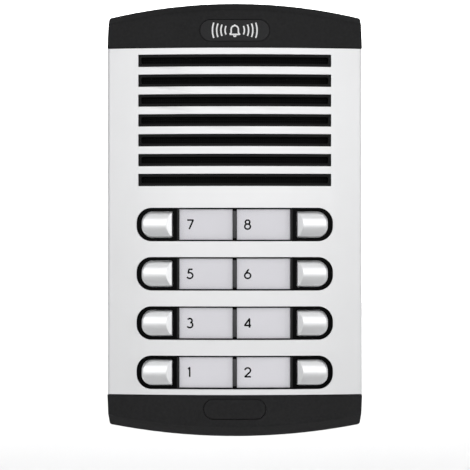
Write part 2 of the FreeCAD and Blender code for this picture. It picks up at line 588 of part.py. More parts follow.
def speaker_tags():
    """Terminal strip behind the basket, below the magnet."""
    low = SPEAKER_Z - MAGNET_R - TAG_STRIP_DROP
    y = MAGNET_FRONT_Y
    strip = box(-TAG_STRIP_W / 2, TAG_STRIP_W / 2, y - 0.9, y + 0.1, low, SPEAKER_Z)
    return strip.cut(rod(0, SPEAKER_Z, MAGNET_R + 1, -DEPTH, 0))


def microphone_front():
    return face_y(MIC_X, CLOTH_BACK) + MIC_BEHIND_CLOTH


def microphone():
    front = microphone_front()
    body = rod(MIC_X, MIC_Z, MIC_R, front, front + MIC_LENGTH)
    return body.cut(rod(MIC_X, MIC_Z, MIC_PORT_R, front, front + 0.5))


def microphone_boot():
    rear = microphone_front() + MIC_LENGTH - BOOT_SHORT
    tube = ring(MIC_X, MIC_Z, MIC_R + MIC_BOOT, MIC_R, -DEPTH, rear)
    return tube.common(bow(CLOTH_BACK))


# ---- call-button rows ----------------------------------------------------
def button_window(side, z, grow, y0, y1):
    x0, x1 = BUTTON_IN - grow, BUTTON_OUT + grow
    half = BUTTON_H / 2 + grow
    shape = rounded(x0, x1, z - half, z + half, BUTTON_R_IN + grow, BUTTON_R_OUT + grow, y0, y1)
    return shape if side > 0 else mirrored(shape)


def card_rect(side, z, grow):
    x0, x1 = sorted((side * (CARD_IN - grow), side * (CARD_OUT + grow)))
    return x0, x1, z - CARD_H / 2 - grow, z + CARD_H / 2 + grow


def guide_half():
    return CARD_OUT + GUIDE_LAP, CARD_H / 2 + GUIDE_LAP


def name_frame(z):
    half_w, half_h = CUT_W / 2 - FRAME_FIT, CUT_H / 2 - FRAME_FIT
    front = through(-half_w, half_w, z - half_h, z + half_h, CUT_R - FRAME_FIT,
                    CUT_R - FRAME_FIT, FRAME_SINK, WALL + 0.2)
    wide, tall = CUT_W / 2 + FRAME_FLANGE_X, CUT_H / 2 + FRAME_FLANGE_Z
    flange = slab(-wide, wide, z - tall, z + tall, WALL, FRAME_BACK)
    posts = [rod(s * BOARD_POST_X, z, BOARD_POST_R, face_y(BOARD_POST_X, WALL + 0.4),
                 BOARD_FRONT_Y) for s in SIDES]
    body = fuse([front, flange] + posts)
    guide_x, guide_z = guide_half()
    guide_x += GUIDE_FIT
    guide_z += GUIDE_FIT
    cuts = [slab(-guide_x, guide_x, z - guide_z, z + guide_z, WALL, FRAME_BACK + 1)]
    for side in SIDES:
        cuts.append(button_window(side, z, BUTTON_GAP, -DEPTH - 20, 0))
        x0, x1, z0, z1 = card_rect(side, z, 0)
        cuts.append(slab(x0, x1, z0, z1, -1, WALL + 0.5))
        cuts.append(rod(side * BOARD_POST_X, z, SCREW_R, BOARD_FRONT_Y - SCREW_BITE, BOARD_FRONT_Y))
    divider_gap = slab(-CARD_IN, CARD_IN, z - CARD_H / 2, z + CARD_H / 2, -1, DIVIDER_SINK)
    return body.cut(Part.makeCompound(cuts + [divider_gap]))


def card_plate(side, z, d0, d1, shrink):
    x0, x1, z0, z1 = card_rect(side, z, -shrink)
    return slab(x0, x1, z0, z1, d0, d1)


def light_guide(z):
    """Clear plate behind both cards with a block over each lamp."""
    guide_x, guide_z = guide_half()
    plate = slab(-guide_x, guide_x, z - guide_z, z + guide_z, WALL, WALL + GUIDE_T)
    blocks = [box(s * LED_X - GUIDE_BLOCK_X, s * LED_X + GUIDE_BLOCK_X, face_y(0, WALL + 1.0),
                  BOARD_FRONT_Y - LAMP_GAP, z - GUIDE_BLOCK_Z, z + GUIDE_BLOCK_Z
                  ).common(bow(WALL + 0.5)) for s in SIDES]
    return fuse([plate] + blocks)


def button_back_y():
    """Rear of the button's lip, which sits behind the frame's flange."""
    return face_y(BUTTON_OUT + BUTTON_LIP, FRAME_BACK) + BUTTON_GAP + BUTTON_LIP_T


def plunger_tip_y():
    return BOARD_FRONT_Y - SWITCH_BODY - PLUNGER_H


def button(side, z):
    """D-shaped key: vaulted front, sloped inner end, lip, post and spring peg."""
    middle = (BUTTON_IN + BUTTON_OUT) / 2
    crown = face_y(middle) - BUTTON_PROUD
    half = BUTTON_H / 2
    vault_r = (half ** 2 + BUTTON_VAULT ** 2) / (2 * BUTTON_VAULT)
    back = button_back_y()
    key = button_window(1, z, 0, -DEPTH - 20, back)
    vault = Part.makeCylinder(vault_r, WIDTH, V(0, crown + vault_r, z), V(1, 0, 0))
    rear = box(0, WIDTH, crown + vault_r, 0, z - half, z + half)
    key = key.common(fuse([vault, rear]))
    slope = [V(BUTTON_IN - 1, crown - 1, z - half), V(BUTTON_IN + FACET_RUN, crown - 1, z - half),
             V(BUTTON_IN + FACET_RUN, crown, z - half),
             V(BUTTON_IN, crown + BUTTON_VAULT, z - half),
             V(BUTTON_IN - 1, crown + BUTTON_VAULT, z - half)]
    facet = Part.Face(Part.makePolygon(slope + slope[:1])).extrude(V(0, 0, BUTTON_H))
    lip = button_window(1, z, BUTTON_LIP, back - BUTTON_LIP_T, back)
    tip = plunger_tip_y() - BUTTON_TRAVEL - SWITCH_CLEAR
    post = rod(SWITCH_X, z, PLUNGER_R, back - 0.5, tip)
    peg = rod(SPRING_X, z, SPRING_R - SPRING_WIRE_R - 0.3, back - 0.5, back + 1.5)
    shape = fuse([key.cut(facet), lip, post, peg])
    return shape if side > 0 else mirrored(shape)


def return_spring(side, z):
    """Open coil between the button's lip and the board."""
    start = button_back_y() + SPRING_END_GAP + SPRING_WIRE_R
    height = BOARD_FRONT_Y - SPRING_END_GAP - SPRING_WIRE_R - start
    steps = SPRING_TURNS * SPRING_STEPS
    points = []
    for i in range(steps + 1):
        turn = 2 * math.pi * i / SPRING_STEPS
        points.append(V(side * SPRING_X + SPRING_R * math.cos(turn), start + height * i / steps,
                        z + SPRING_R * math.sin(turn)))
    curve = Part.BSplineCurve()
    curve.interpolate(points)
    section = Part.Circle(points[0], curve.tangent(curve.FirstParameter)[0], SPRING_WIRE_R)
    return Part.Wire(curve.toShape()).makePipeShell([Part.Wire(section.toShape())], True, True)


# ---- button board --------------------------------------------------------
def standoff_places():
    x = AUDIO_HALF_W - STANDOFF_INSET
    rows = (AUDIO_TOP_Z - STANDOFF_INSET, AUDIO_TOP_Z - AUDIO_H + STANDOFF_INSET)
    return [(s * x, z) for s in SIDES for z in rows]


def button_board():
    board = box(-BOARD_HALF_W, BOARD_HALF_W, BOARD_FRONT_Y, BOARD_BACK_Y, BOARD_LOW_Z, BOARD_TOP_Z)
    holes = [rod(s * BOARD_POST_X, z, SCREW_R + SCREW_FIT, BOARD_FRONT_Y, BOARD_BACK_Y)
             for s in SIDES for z in ROW_Z]
    return board.cut(Part.makeCompound(holes))


def switches():
    half = SWITCH_SIDE / 2
    made = []
    for z in ROW_Z:
        for s in SIDES:
            x = s * SWITCH_X
            body = box(x - half, x + half, BOARD_FRONT_Y - SWITCH_BODY, BOARD_FRONT_Y,
                       z - half, z + half)
            plunger = rod(x, z, PLUNGER_R, plunger_tip_y(), BOARD_FRONT_Y - 1)
            made.append(fuse([body, plunger]))
    return made


def label_lamps():
    half_w, half_h = LED_SIDE / 2, LED_H / 2
    return [box(s * LED_X - half_w, s * LED_X + half_w, BOARD_FRONT_Y - LED_TALL, BOARD_FRONT_Y,
                z - half_h, z + half_h) for s in SIDES for z in ROW_Z]


def board_screws():
    screws = [pan_screw(s * BOARD_POST_X, z, BOARD_BACK_Y, BOARD_T + SCREW_BITE - 0.5)
              for s in SIDES for z in ROW_Z]
    screws += [pan_screw(x, z, SPEAKER_SEAT_Y + RIM_T + CLAMP_T) for x, z in clamp_places()]
    screws += [pan_screw(x, z, AUDIO_BACK_Y) for x, z in standoff_places()]
    return screws


# ---- audio board ---------------------------------------------------------
def standoffs():
    return [ring(x, z, STANDOFF_R, SCREW_R, BOARD_BACK_Y, AUDIO_FRONT_Y)
            for x, z in standoff_places()]


def audio_board():
    board = box(-AUDIO_HALF_W, AUDIO_HALF_W, AUDIO_FRONT_Y, AUDIO_BACK_Y,
                AUDIO_TOP_Z - AUDIO_H, AUDIO_TOP_Z)
    holes = [rod(x, z, SCREW_R + SCREW_FIT, AUDIO_FRONT_Y, AUDIO_BACK_Y)
             for x, z in standoff_places()]
    return board.cut(Part.makeCompound(holes))


def on_board(x, z, w, h, tall):
    """Block on the rear of the audio board."""
    return box(x - w / 2, x + w / 2, AUDIO_BACK_Y, AUDIO_BACK_Y + tall, z - h / 2, z + h / 2)


def terminal_places():
    first = -TERMINAL_PITCH * (TERMINALS - 1) / 2
    return [first + TERMINAL_PITCH * i for i in range(TERMINALS)]


def terminal_block():
    block = on_board(0, TERMINAL_Z, TERMINALS * TERMINAL_PITCH + 1, TERMINAL_H, TERMINAL_TALL)
    rear = AUDIO_BACK_Y + TERMINAL_TALL
    cuts = []
    for x in terminal_places():
        cuts.append(rod(x, TERMINAL_Z, TERMINAL_WELL_R, rear - TERMINAL_WELL, rear))
        cuts.append(box(x - 1.5, x + 1.5, AUDIO_BACK_Y + 1.5, AUDIO_BACK_Y + 4.5,
                        TERMINAL_Z - 5, TERMINAL_Z + 1))
    return block.cut(Part.makeCompound(cuts))


def terminal_screws():
    rear = AUDIO_BACK_Y + TERMINAL_TALL
    screws = []
    for x in terminal_places():
        screw = rod(x, TERMINAL_Z, TERMINAL_SCREW_R, rear - TERMINAL_WELL, rear - 1.2)
        slot = box(x - 2, x + 2, rear - 1.9, rear - 1.2, TERMINAL_Z - DRIVER_SLOT,
                   TERMINAL_Z + DRIVER_SLOT)
        screws.append(screw.cut(slot))
    return screws


def audio_chips():
    return [on_board(x, AUDIO_TOP_Z - drop, w, h, tall) for x, drop, w, h, tall in CHIPS]


def capacitors():
    made = []
    for x, drop, r, tall in CANS:
        can = rod(x, AUDIO_TOP_Z - drop, r, AUDIO_BACK_Y, AUDIO_BACK_Y + tall)
        rim = [e for e in can.Edges if e.BoundBox.YMin > AUDIO_BACK_Y + tall - 0.1]
        made.append(can.makeFillet(CAN_EDGE, rim))
    return made


def trimmer_bodies():
    made = []
    for x in TRIMMER_X:
        body = on_board(x, TRIMMER_Z, TRIMMER_SIDE, TRIMMER_SIDE, TRIMMER_TALL)
        top = AUDIO_BACK_Y + TRIMMER_TALL
        made.append(body.cut(rod(x, TRIMMER_Z, ROTOR_SHAFT_R + ROTOR_FIT, top - ROTOR_BORE, top)))
    return made


def trimmer_rotor(x):
    top = AUDIO_BACK_Y + TRIMMER_TALL
    disc = rod(x, TRIMMER_Z, ROTOR_R, top + ROTOR_FIT, top + ROTOR_FIT + ROTOR_T)
    shaft = rod(x, TRIMMER_Z, ROTOR_SHAFT_R, top + 2 * ROTOR_FIT - ROTOR_BORE, top + 0.5)
    face = top + ROTOR_FIT + ROTOR_T
    slot = box(x - DRIVER_SLOT, x + DRIVER_SLOT, face - ROTOR_T / 2, face,
               TRIMMER_Z - 0.75 * ROTOR_R, TRIMMER_Z + 0.75 * ROTOR_R)
    return fuse([disc, shaft]).cut(slot)


def connectors():
    """Pin header that joins the two boards, and the plugs of the leads."""
    header = box(-HEADER_W / 2, HEADER_W / 2, BOARD_BACK_Y, AUDIO_FRONT_Y,
                 HEADER_Z - HEADER_H / 2, HEADER_Z + HEADER_H / 2)
    z = AUDIO_TOP_Z - 1.5 - PLUG_DROP / 2
    plugs = [on_board(x, z, LEAD_PLUG_W, PLUG_DROP, PLUG_TALL)
             for x in (SPEAKER_PLUG_X, MIC_PLUG_X)]
    return [header] + plugs


# ---- leads ---------------------------------------------------------------
def lead(name, points, radius):
    """Round lead of straight runs joined by tangent arcs."""
    pts = [V(*p) for p in points]
    edges = []
    radii = []
    start = pts[0]
    for a, b, c in zip(pts, pts[1:], pts[2:]):
        back, ahead = (a - b), (c - b)
        shorter = min(back.Length, ahead.Length)
        turn = math.pi - back.getAngle(ahead)
        cut = 0.45 * shorter
        radii.append(cut / math.tan(turn / 2))
        back.normalize()
        ahead.normalize()
        first, last = b + back * cut, b + ahead * cut
        middle_way = (back + ahead).normalize()
        centre = b + middle_way * math.hypot(radii[-1], cut)
        middle = centre - middle_way * radii[-1]
        edges.append(line(start, first))
        edges.append(arc(first, middle, last))
        start = last
    edges.append(line(start, pts[-1]))
    path = Part.Wire(edges)
    section = Part.Wire(Part.Circle(pts[0], pts[1] - pts[0], radius).toShape())
    tube = path.makePipeShell([section], True, True)
    expected = math.pi * radius ** 2 * path.Length
    print(name, "radii", [round(r, 1) for r in radii], "length", round(path.Length, 1),
          "volume ratio", round(tube.Volume / expected, 4))
    return tube


def speaker_leads():
    made = []
    tags_y, tags_z = MAGNET_FRONT_Y + 0.8, SPEAKER_Z - 21.0
    for s in SIDES:
        route = [(3 * s, tags_y, tags_z), (8 + 2 * s, tags_y + 1.2, tags_z - 13.5),
                 (17 + 1.5 * s, AUDIO_FRONT_Y + 2.0, AUDIO_TOP_Z + 20.5),
                 (24 + 1.2 * s, LEAD_Y + 0.3, AUDIO_TOP_Z + 10),
                 (SPEAKER_PLUG_X + 1.1 * s, LEAD_Y, LEAD_END_Z)]
        made.append(lead("speaker lead", route, SPEAKER_LEAD_R))
    return made


def microphone_leads():
    rear = microphone_front() + MIC_LENGTH
    made = []
    for s in SIDES:
        route = [(MIC_X + 1.4 * s, rear, MIC_Z), (MIC_X - 0.5 + 1.2 * s, rear + 7.0, MIC_Z - 1.5),
                 (40 + 1.1 * s, AUDIO_FRONT_Y + 1.6, AUDIO_TOP_Z + 23.5),
                 (37.5 + 1.1 * s, LEAD_Y - 0.3, AUDIO_TOP_Z + 11.5),
                 (MIC_PLUG_X + 1.1 * s, LEAD_Y, LEAD_END_Z)]
        made.append(lead("microphone lead", route, MIC_LEAD_R))
    return made


# ---- back box ------------------------------------------------------------
def box_prism(shrink, y0, y1):
    """Outline of the back box: straight sides, arched top and bottom."""
    half = HALF - BOX_INSET - shrink
    inset = BOX_TOP_INSET + shrink
    top_c, top_m = FACE_HALF + TOP_CORNER - inset, FACE_HALF + TOP_MIDDLE - inset
    low_c, low_m = FACE_HALF + BOTTOM_CORNER - inset, FACE_HALF + BOTTOM_MIDDLE - inset
    a, b = V(-half, y0, -low_c), V(-half, y0, top_c)
    c, d = V(half, y0, top_c), V(half, y0, -low_c)
    wire = Part.Wire([line(a, b), arc(b, V(0, y0, top_m), c), line(c, d),
                      arc(d, V(0, y0, -low_m), a)])
    prism = Part.Face(wire).extrude(V(0, y1 - y0, 0))
    corners = [e for e in prism.Edges if e.BoundBox.ZLength < 0.01 and e.BoundBox.XLength < 0.01]
    return prism.makeFillet(max(BOX_CORNER_R - shrink, 0.8), corners)


def hinge_stand(x):
    """Two cheeks and the pin between them."""
    inner = HOOK_W / 2 + HINGE_GAP
    parts = [Part.makeCylinder(PIN_R, 2 * inner + 2, V(x - inner - 1, PIVOT_Y, PIVOT_Z), V(1, 0, 0))]
    for s in SIDES:
        x0, x1 = sorted((x + s * inner, x + s * (inner + CHEEK_T)))
        cheek = box(x0, x1, PIVOT_Y, -BOX_FLOOR + 0.5, PIVOT_Z - CHEEK_HALF, PIVOT_Z + CHEEK_HALF)
        nose = Part.makeCylinder(CHEEK_HALF, CHEEK_T, V(x0, PIVOT_Y, PIVOT_Z), V(1, 0, 0))
        parts += [cheek, nose]
    return fuse(parts)


def wall_hole_places():
    return [(sx * WALL_HOLE_X, sz * WALL_HOLE_Z) for sx in SIDES for sz in SIDES]


def gasket_ring(grow):
    return box_prism(GASKET_EDGE - grow, -GASKET_T, 0).cut(
        box_prism(GASKET_EDGE + GASKET_W + grow, -GASKET_T, 0))


def back_box():
    front_y = -RIM_GAP - BOX_LAP
    tub = box_prism(0, front_y, 0).cut(box_prism(BOX_WALL, front_y, -BOX_FLOOR))
    boss = rod(0, LOCK_Z, LOCK_BOSS_R, LOCK_BOSS_Y, -BOX_FLOOR + 0.5)
    stands = [hinge_stand(side * HINGE_X) for side in SIDES]
    ribs = [box(s * RIB_X - RIB_T / 2, s * RIB_X + RIB_T / 2, -BOX_FLOOR - RIB_RISE,
                -BOX_FLOOR + 0.5, -RIB_HALF, RIB_HALF) for s in SIDES]
    tub = fuse([tub, boss] + stands + ribs)
    cuts = [rod(x, z, WALL_HOLE_R, -BOX_FLOOR, 0) for x, z in wall_hole_places()]
    cuts.append(rod(0, LOCK_Z, INSERT_R, LOCK_BOSS_Y, LOCK_BOSS_Y + INSERT_L))
    cuts.append(rod(0, CABLE_Z, CABLE_HOLE_R, -BOX_FLOOR, 0))
    cuts.append(rod(0, CABLE_Z, CABLE_HOLE_R + GROMMET_LIP, -GROMMET_REAR, 0))
    cuts.append(gasket_ring(0))
    return tub.cut(Part.makeCompound(cuts))


def wall_gasket():
    return gasket_ring(0)


def cable_grommet():
    lip_r = CABLE_HOLE_R + GROMMET_LIP
    body = revolved([(CABLE_BORE_R, 0), (lip_r, 0), (lip_r, -GROMMET_REAR),
                     (CABLE_HOLE_R, -GROMMET_REAR), (CABLE_HOLE_R, -BOX_FLOOR), (lip_r, -BOX_FLOOR),
                     (lip_r, -BOX_FLOOR - GROMMET_FRONT), (CABLE_BORE_R, -BOX_FLOOR - GROMMET_FRONT)],
                    0, CABLE_Z)
    return body


def lock_insert():
    return ring(0, LOCK_Z, INSERT_R, INSERT_BORE_R, LOCK_BOSS_Y, LOCK_BOSS_Y + INSERT_L)


# ---- write every node ----------------------------------------------------
def write_cover():
    save("face_profile", face_profile())
    save("top_cap", top_cap())
    save("badge", badge())
    save("bottom_cap", bottom_cap())
    save("screw_cover", screw_cover())
    save("lock_screw", lock_screw())
    save("cap_screws", *cap_screws())


def write_audio_parts():
    save("grille_insert", grille_insert())
    save("speaker_cloth", speaker_cloth())
    save("speaker_gasket", speaker_gasket())
    save("speaker_basket", speaker_basket())
    save("speaker_cone", speaker_cone())
    save("speaker_magnet", speaker_magnet())
    save("speaker_clamps", *speaker_clamps())
    save("speaker_tags", speaker_tags())
    save("microphone", microphone())
    save("microphone_boot", microphone_boot())
    save("speaker_leads", *speaker_leads())
    save("microphone_leads", *microphone_leads())


def write_rows():
    """Rows from the bottom up carry buttons 1-2, 3-4, 5-6 and 7-8."""
    panes = []
    cards = []
    card_d = WINDOW_SINK + WINDOW_T
    for row, z in enumerate(reversed(ROW_Z)):
        save("name_frame_%d" % (row + 1), name_frame(z))
        for side in SIDES:
            number = 2 * row + (1 if side < 0 else 2)
            save("button_%d" % number, button(side, z))
            save("return_spring_%d" % number, return_spring(side, z))
            panes.append(card_plate(side, z, WINDOW_SINK, card_d, 0.05))
            cards.append(card_plate(side, z, card_d, card_d + CARD_T, 0.05))
    save("name_windows", *panes)
    save("name_cards", *cards)
    save("light_guides", *[light_guide(z) for z in ROW_Z])


def write_boards():
    save("button_board", button_board())
    save("switches", *switches())
    save("label_lamps", *label_lamps())
    save("small_screws", *board_screws())
    save("standoffs", *standoffs())
    save("audio_board", audio_board())
    save("terminal_block", terminal_block())
    save("terminal_screws", *terminal_screws())
    save("audio_chips", *audio_chips())
    save("capacitors", *capacitors())
    save("trimmer_bodies", *trimmer_bodies())
    save("volume_rotor", trimmer_rotor(TRIMMER_X[0]))
    save("microphone_rotor", trimmer_rotor(TRIMMER_X[1]))
    save("connectors", *connectors())


def write_back():
    save("back_box", back_box())
    save("wall_gasket", wall_gasket())
    save("cable_grommet", cable_grommet())
    save("lock_insert", lock_insert())


os.makedirs("parts", exist_ok=True)
write_cover()
write_audio_parts()
write_rows()
write_boards()
write_back()
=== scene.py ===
import bpy
import bmesh
import json
import math
from mathutils import Matrix, Vector


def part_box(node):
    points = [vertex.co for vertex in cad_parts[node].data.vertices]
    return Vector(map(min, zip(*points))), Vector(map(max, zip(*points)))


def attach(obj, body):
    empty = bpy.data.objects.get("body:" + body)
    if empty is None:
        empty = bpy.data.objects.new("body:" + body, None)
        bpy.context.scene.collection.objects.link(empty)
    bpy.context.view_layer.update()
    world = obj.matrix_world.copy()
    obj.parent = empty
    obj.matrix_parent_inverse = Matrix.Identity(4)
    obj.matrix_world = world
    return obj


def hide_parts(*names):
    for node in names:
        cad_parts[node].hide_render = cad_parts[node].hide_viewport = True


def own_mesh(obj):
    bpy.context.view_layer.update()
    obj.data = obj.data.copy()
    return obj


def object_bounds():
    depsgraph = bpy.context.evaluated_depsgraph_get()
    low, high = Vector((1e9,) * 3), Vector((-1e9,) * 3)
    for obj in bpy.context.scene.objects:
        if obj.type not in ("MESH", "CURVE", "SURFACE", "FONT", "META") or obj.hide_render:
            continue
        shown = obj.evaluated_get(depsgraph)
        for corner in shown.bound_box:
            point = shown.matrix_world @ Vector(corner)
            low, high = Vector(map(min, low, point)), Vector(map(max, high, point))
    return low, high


# Door intercom panel: bowed aluminium face, black end caps, speech grille,
# eight silver call keys and numbered name cards. Metres; the front faces -Y.

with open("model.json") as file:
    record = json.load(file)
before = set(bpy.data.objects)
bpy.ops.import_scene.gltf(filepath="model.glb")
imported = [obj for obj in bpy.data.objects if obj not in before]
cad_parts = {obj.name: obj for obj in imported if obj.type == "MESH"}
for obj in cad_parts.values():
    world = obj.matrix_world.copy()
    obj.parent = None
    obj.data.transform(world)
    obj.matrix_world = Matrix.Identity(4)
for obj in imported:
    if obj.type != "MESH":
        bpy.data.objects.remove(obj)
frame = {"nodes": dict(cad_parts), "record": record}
CAD_BOX = [list(corner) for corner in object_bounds()]
NODES = frame["nodes"]
RECORD = frame["record"]
BODY_OF = {n: b for b, names in RECORD["behaviour"]["bodies"].items() for n in names}
MM = 0.001
SIDES = (-1, 1)
WAVE_BAND = math.pi / 20    # width of one band of a wave node at scale 1


# ---- shader maths ----------------------------------------------------------
class Value:
    """A socket that Python's operators work on."""

    def __init__(self, finish, socket):
        self.finish = finish
        self.socket = socket

    def math(self, operation, first, second=0.0):
        return self.finish.node("ShaderNodeMath", {"operation": operation}, {0: first, 1: second})

    def __add__(self, other):
        return self.math("ADD", self, other)

    def __rsub__(self, other):
        return self.math("SUBTRACT", other, self)

    def __mul__(self, other):
        return self.math("MULTIPLY", self, other)

    def over(self, limit):
        return self.math("GREATER_THAN", self, limit)

    __radd__ = __add__
    __rmul__ = __mul__


class Finish:
    """One material on a Principled shader; constants sit on its own sockets."""

    def __init__(self, name, color, roughness, **constants):
        self.material = bpy.data.materials.new(name)
        self.material.use_nodes = True
        self.tree = self.material.node_tree
        self.shader = self.tree.nodes["Principled BSDF"]
        self.color = tuple(color) + (1.0,)
        self.shader.inputs["Base Color"].default_value = self.color
        self.shader.inputs["Roughness"].default_value = roughness
        for key, value in constants.items():
            self.shader.inputs[key.replace("_", " ")].default_value = value
        self.place = self.node("ShaderNodeTexCoord", {}, {}, "Object")

    def node(self, kind, settings, values, output=0):
        made = self.tree.nodes.new(kind)
        for key, value in settings.items():
            setattr(made, key, value)
        for key, value in values.items():
            if isinstance(value, Value):
                self.tree.links.new(value.socket, made.inputs[key])
            else:
                made.inputs[key].default_value = value
        return Value(self, made.outputs[output])

    def feed(self, socket, value):
        self.tree.links.new(value.socket, self.shader.inputs[socket])

    def stretched(self, scale):
        return self.node("ShaderNodeMapping", {}, {"Vector": self.place, "Scale": scale})

    def noise(self, size, detail=3.0, stretch=(1, 1, 1)):
        """Soft noise whose features are about size metres across."""
        return self.node("ShaderNodeTexNoise", {},
                         {"Vector": self.stretched(stretch), "Scale": 1 / size, "Detail": detail})

    def cells(self, size, feature="F1"):
        """Cells about size metres across."""
        return self.node("ShaderNodeTexVoronoi", {"feature": feature},
                         {"Vector": self.place, "Scale": 1 / size}, "Distance")

    def waves(self, size, direction):
        """Light and dark bands, each about size metres wide."""
        return self.node("ShaderNodeTexWave", {"bands_direction": direction},
                         {"Vector": self.place, "Scale": WAVE_BAND / size}, "Fac")

    def blended(self, share, first, second):
        def full(c):
            return c if isinstance(c, Value) else tuple(c) + (1.0,)
        return self.node("ShaderNodeMix", {"data_type": "RGBA"},
                         {0: share, 6: full(first), 7: full(second)}, 2)

    def bump(self, height, distance, strength=1.0):
        self.feed("Normal", self.node("ShaderNodeBump", {},
                                      {"Height": height, "Distance": distance, "Strength": strength},
                                      "Normal"))


def shade(color, factor):
    return [c * factor for c in color]


# ---- finishes --------------------------------------------------------------
def anodised_aluminium():
    base = (0.83, 0.832, 0.835)
    f = Finish("anodised_aluminium", base, 0.4, Metallic=0.4)
    fine = f.noise(0.22 * MM, 2.0)
    drawn = f.noise(0.5 * MM, 3.0, (1, 1, 0.02))
    cloud = f.noise(34 * MM, 2.0)
    f.feed("Base Color", f.blended(cloud * 0.5 + fine * 0.35, shade(base, 0.93), shade(base, 1.03)))
    f.feed("Roughness", 0.36 + fine * 0.08 + drawn * 0.05)
    f.bump(fine * 0.6 + drawn * 0.4, 0.012 * MM, 0.5)
    return f


def grained_plastic(name, base, roughness, grain=0.3 * MM, depth=0.03 * MM, specular=0.35):
    """Moulded plastic with a fine spark-eroded grain and slight handling marks."""
    f = Finish(name, base, roughness)
    f.shader.inputs["Specular IOR Level"].default_value = specular
    pits = f.cells(grain)
    fine = f.noise(grain * 2.2, 3.0)
    rubbed = f.noise(26 * MM, 4.0)
    f.feed("Base Color", f.blended(fine * 0.7 + rubbed * 0.4, shade(base, 0.72), shade(base, 1.35)))
    f.feed("Roughness", roughness - 0.06 + rubbed * 0.16)
    f.bump(pits * 0.5 + fine, depth, 0.6)
    return f


def gloss_black():
    f = Finish("gloss_black", (0.0012, 0.0012, 0.0013), 0.22)
    f.shader.inputs["Specular IOR Level"].default_value = 0.03
    f.feed("Roughness", 0.18 + f.noise(9 * MM, 4.0) * 0.12)
    f.bump(f.noise(1.2 * MM, 2.0), 0.006 * MM, 0.4)
    return f


def silver_key():
    """Satin silver paint on the call keys."""
    base = (0.76, 0.765, 0.77)
    f = Finish("silver_key", base, 0.36, Metallic=0.75)
    flake = f.cells(0.12 * MM)
    worn = f.noise(5 * MM, 3.0)
    f.feed("Base Color", f.blended(flake * 0.6 + worn * 0.3, shade(base, 0.95), shade(base, 1.06)))
    f.feed("Roughness", 0.3 + flake * 0.08 + worn * 0.05)
    f.bump(flake, 0.006 * MM, 0.5)
    return f


def acoustic_cloth():
    f = Finish("acoustic_cloth", (0.004, 0.004, 0.004), 0.95)
    f.shader.inputs["Specular IOR Level"].default_value = 0.1
    weave = f.waves(0.55 * MM, "X") * f.waves(0.55 * MM, "Z")
    f.feed("Base Color", f.blended(weave, (0.002, 0.002, 0.002), (0.012, 0.012, 0.012)))
    f.bump(weave, 0.12 * MM)
    return f


def clear_window():
    f = Finish("clear_window", (0.04, 0.04, 0.045), 0.06, Alpha=0.02)
    f.shader.inputs["Specular IOR Level"].default_value = 0.12
    f.feed("Roughness", 0.04 + f.noise(14 * MM, 4.0) * 0.08)
    return f


def card_paper():
    base = (0.9, 0.89, 0.93)
    f = Finish("card_paper", base, 0.85)
    fibre = f.noise(0.35 * MM, 4.0, (1, 1, 0.4))
    cloud = f.noise(12 * MM, 2.0)
    f.feed("Base Color", f.blended(fibre * 0.6 + cloud * 0.4, shade(base, 0.97), shade(base, 1.03)))
    f.bump(fibre, 0.015 * MM, 0.6)
    return f


def printed(name, color, specular):
    f = Finish(name, color, 0.6)
    f.shader.inputs["Specular IOR Level"].default_value = specular
    f.feed("Base Color", f.blended(f.noise(0.4 * MM), color, shade(color, 0.9)))
    f.bump(f.noise(0.3 * MM), 0.004 * MM, 0.4)
    return f


def milky_guide():
    f = Finish("milky_guide", (0.82, 0.83, 0.85), 0.35)
    f.feed("Base Color", f.blended(f.noise(3 * MM), (0.78, 0.79, 0.81), (0.86, 0.87, 0.89)))
    f.bump(f.noise(0.8 * MM), 0.01 * MM, 0.4)
    return f


def metal(name, base, roughness, brush=(1, 1, 1), size=0.4 * MM, stain=0.25):
    """Bare or plated metal with fine tool marks and a little staining."""
    f = Finish(name, base, roughness, Metallic=1.0)
    marks = f.noise(size, 4.0, brush)
    cloud = f.noise(7 * MM, 4.0)
    f.feed("Base Color", f.blended(cloud * stain * 2, base, shade(base, 0.7)))
    f.feed("Roughness", roughness - 0.05 + marks * 0.14 + cloud * 0.06)
    f.bump(marks, 0.01 * MM, 0.5)
    return f


def rubber(name, base):
    f = Finish(name, base, 0.78)
    f.shader.inputs["Specular IOR Level"].default_value = 0.3
    dust = f.noise(6 * MM, 5.0)
    f.feed("Base Color", f.blended(dust, base, shade(base, 2.2)))
    f.feed("Roughness", 0.7 + dust * 0.2)
    f.bump(f.noise(0.5 * MM, 4.0), 0.03 * MM, 0.6)
    return f


def circuit_board():
    """Green solder mask over copper tracks, with a fine glass weave."""
    mask, track = (0.006, 0.075, 0.03), (0.012, 0.14, 0.05)
    f = Finish("circuit_board", mask, 0.3)
    edge = f.cells(4.5 * MM, "DISTANCE_TO_EDGE")
    lines = 1 - edge.over(0.07)
    weave = f.waves(0.8 * MM, "X") * f.waves(0.8 * MM, "Z")
    f.feed("Base Color", f.blended(lines, f.blended(weave * 0.4, mask, shade(mask, 1.3)), track))
    f.feed("Roughness", 0.26 + weave * 0.1)
    f.bump(lines + weave * 0.15, 0.03 * MM, 0.6)
    return f


def paper_cone():
    base = (0.012, 0.012, 0.013)
    f = Finish("paper_cone", base, 0.7)
    fibre = f.noise(0.6 * MM, 5.0)
    f.feed("Base Color", f.blended(fibre, shade(base, 0.6), shade(base, 2.0)))
    f.bump(fibre, 0.05 * MM, 0.6)
    return f


def insulation(name, base):
    f = Finish(name, base, 0.42)
    f.feed("Base Color", f.blended(f.noise(2 * MM), shade(base, 0.85), shade(base, 1.1)))
    f.bump(f.noise(0.5 * MM), 0.01 * MM, 0.4)
    return f


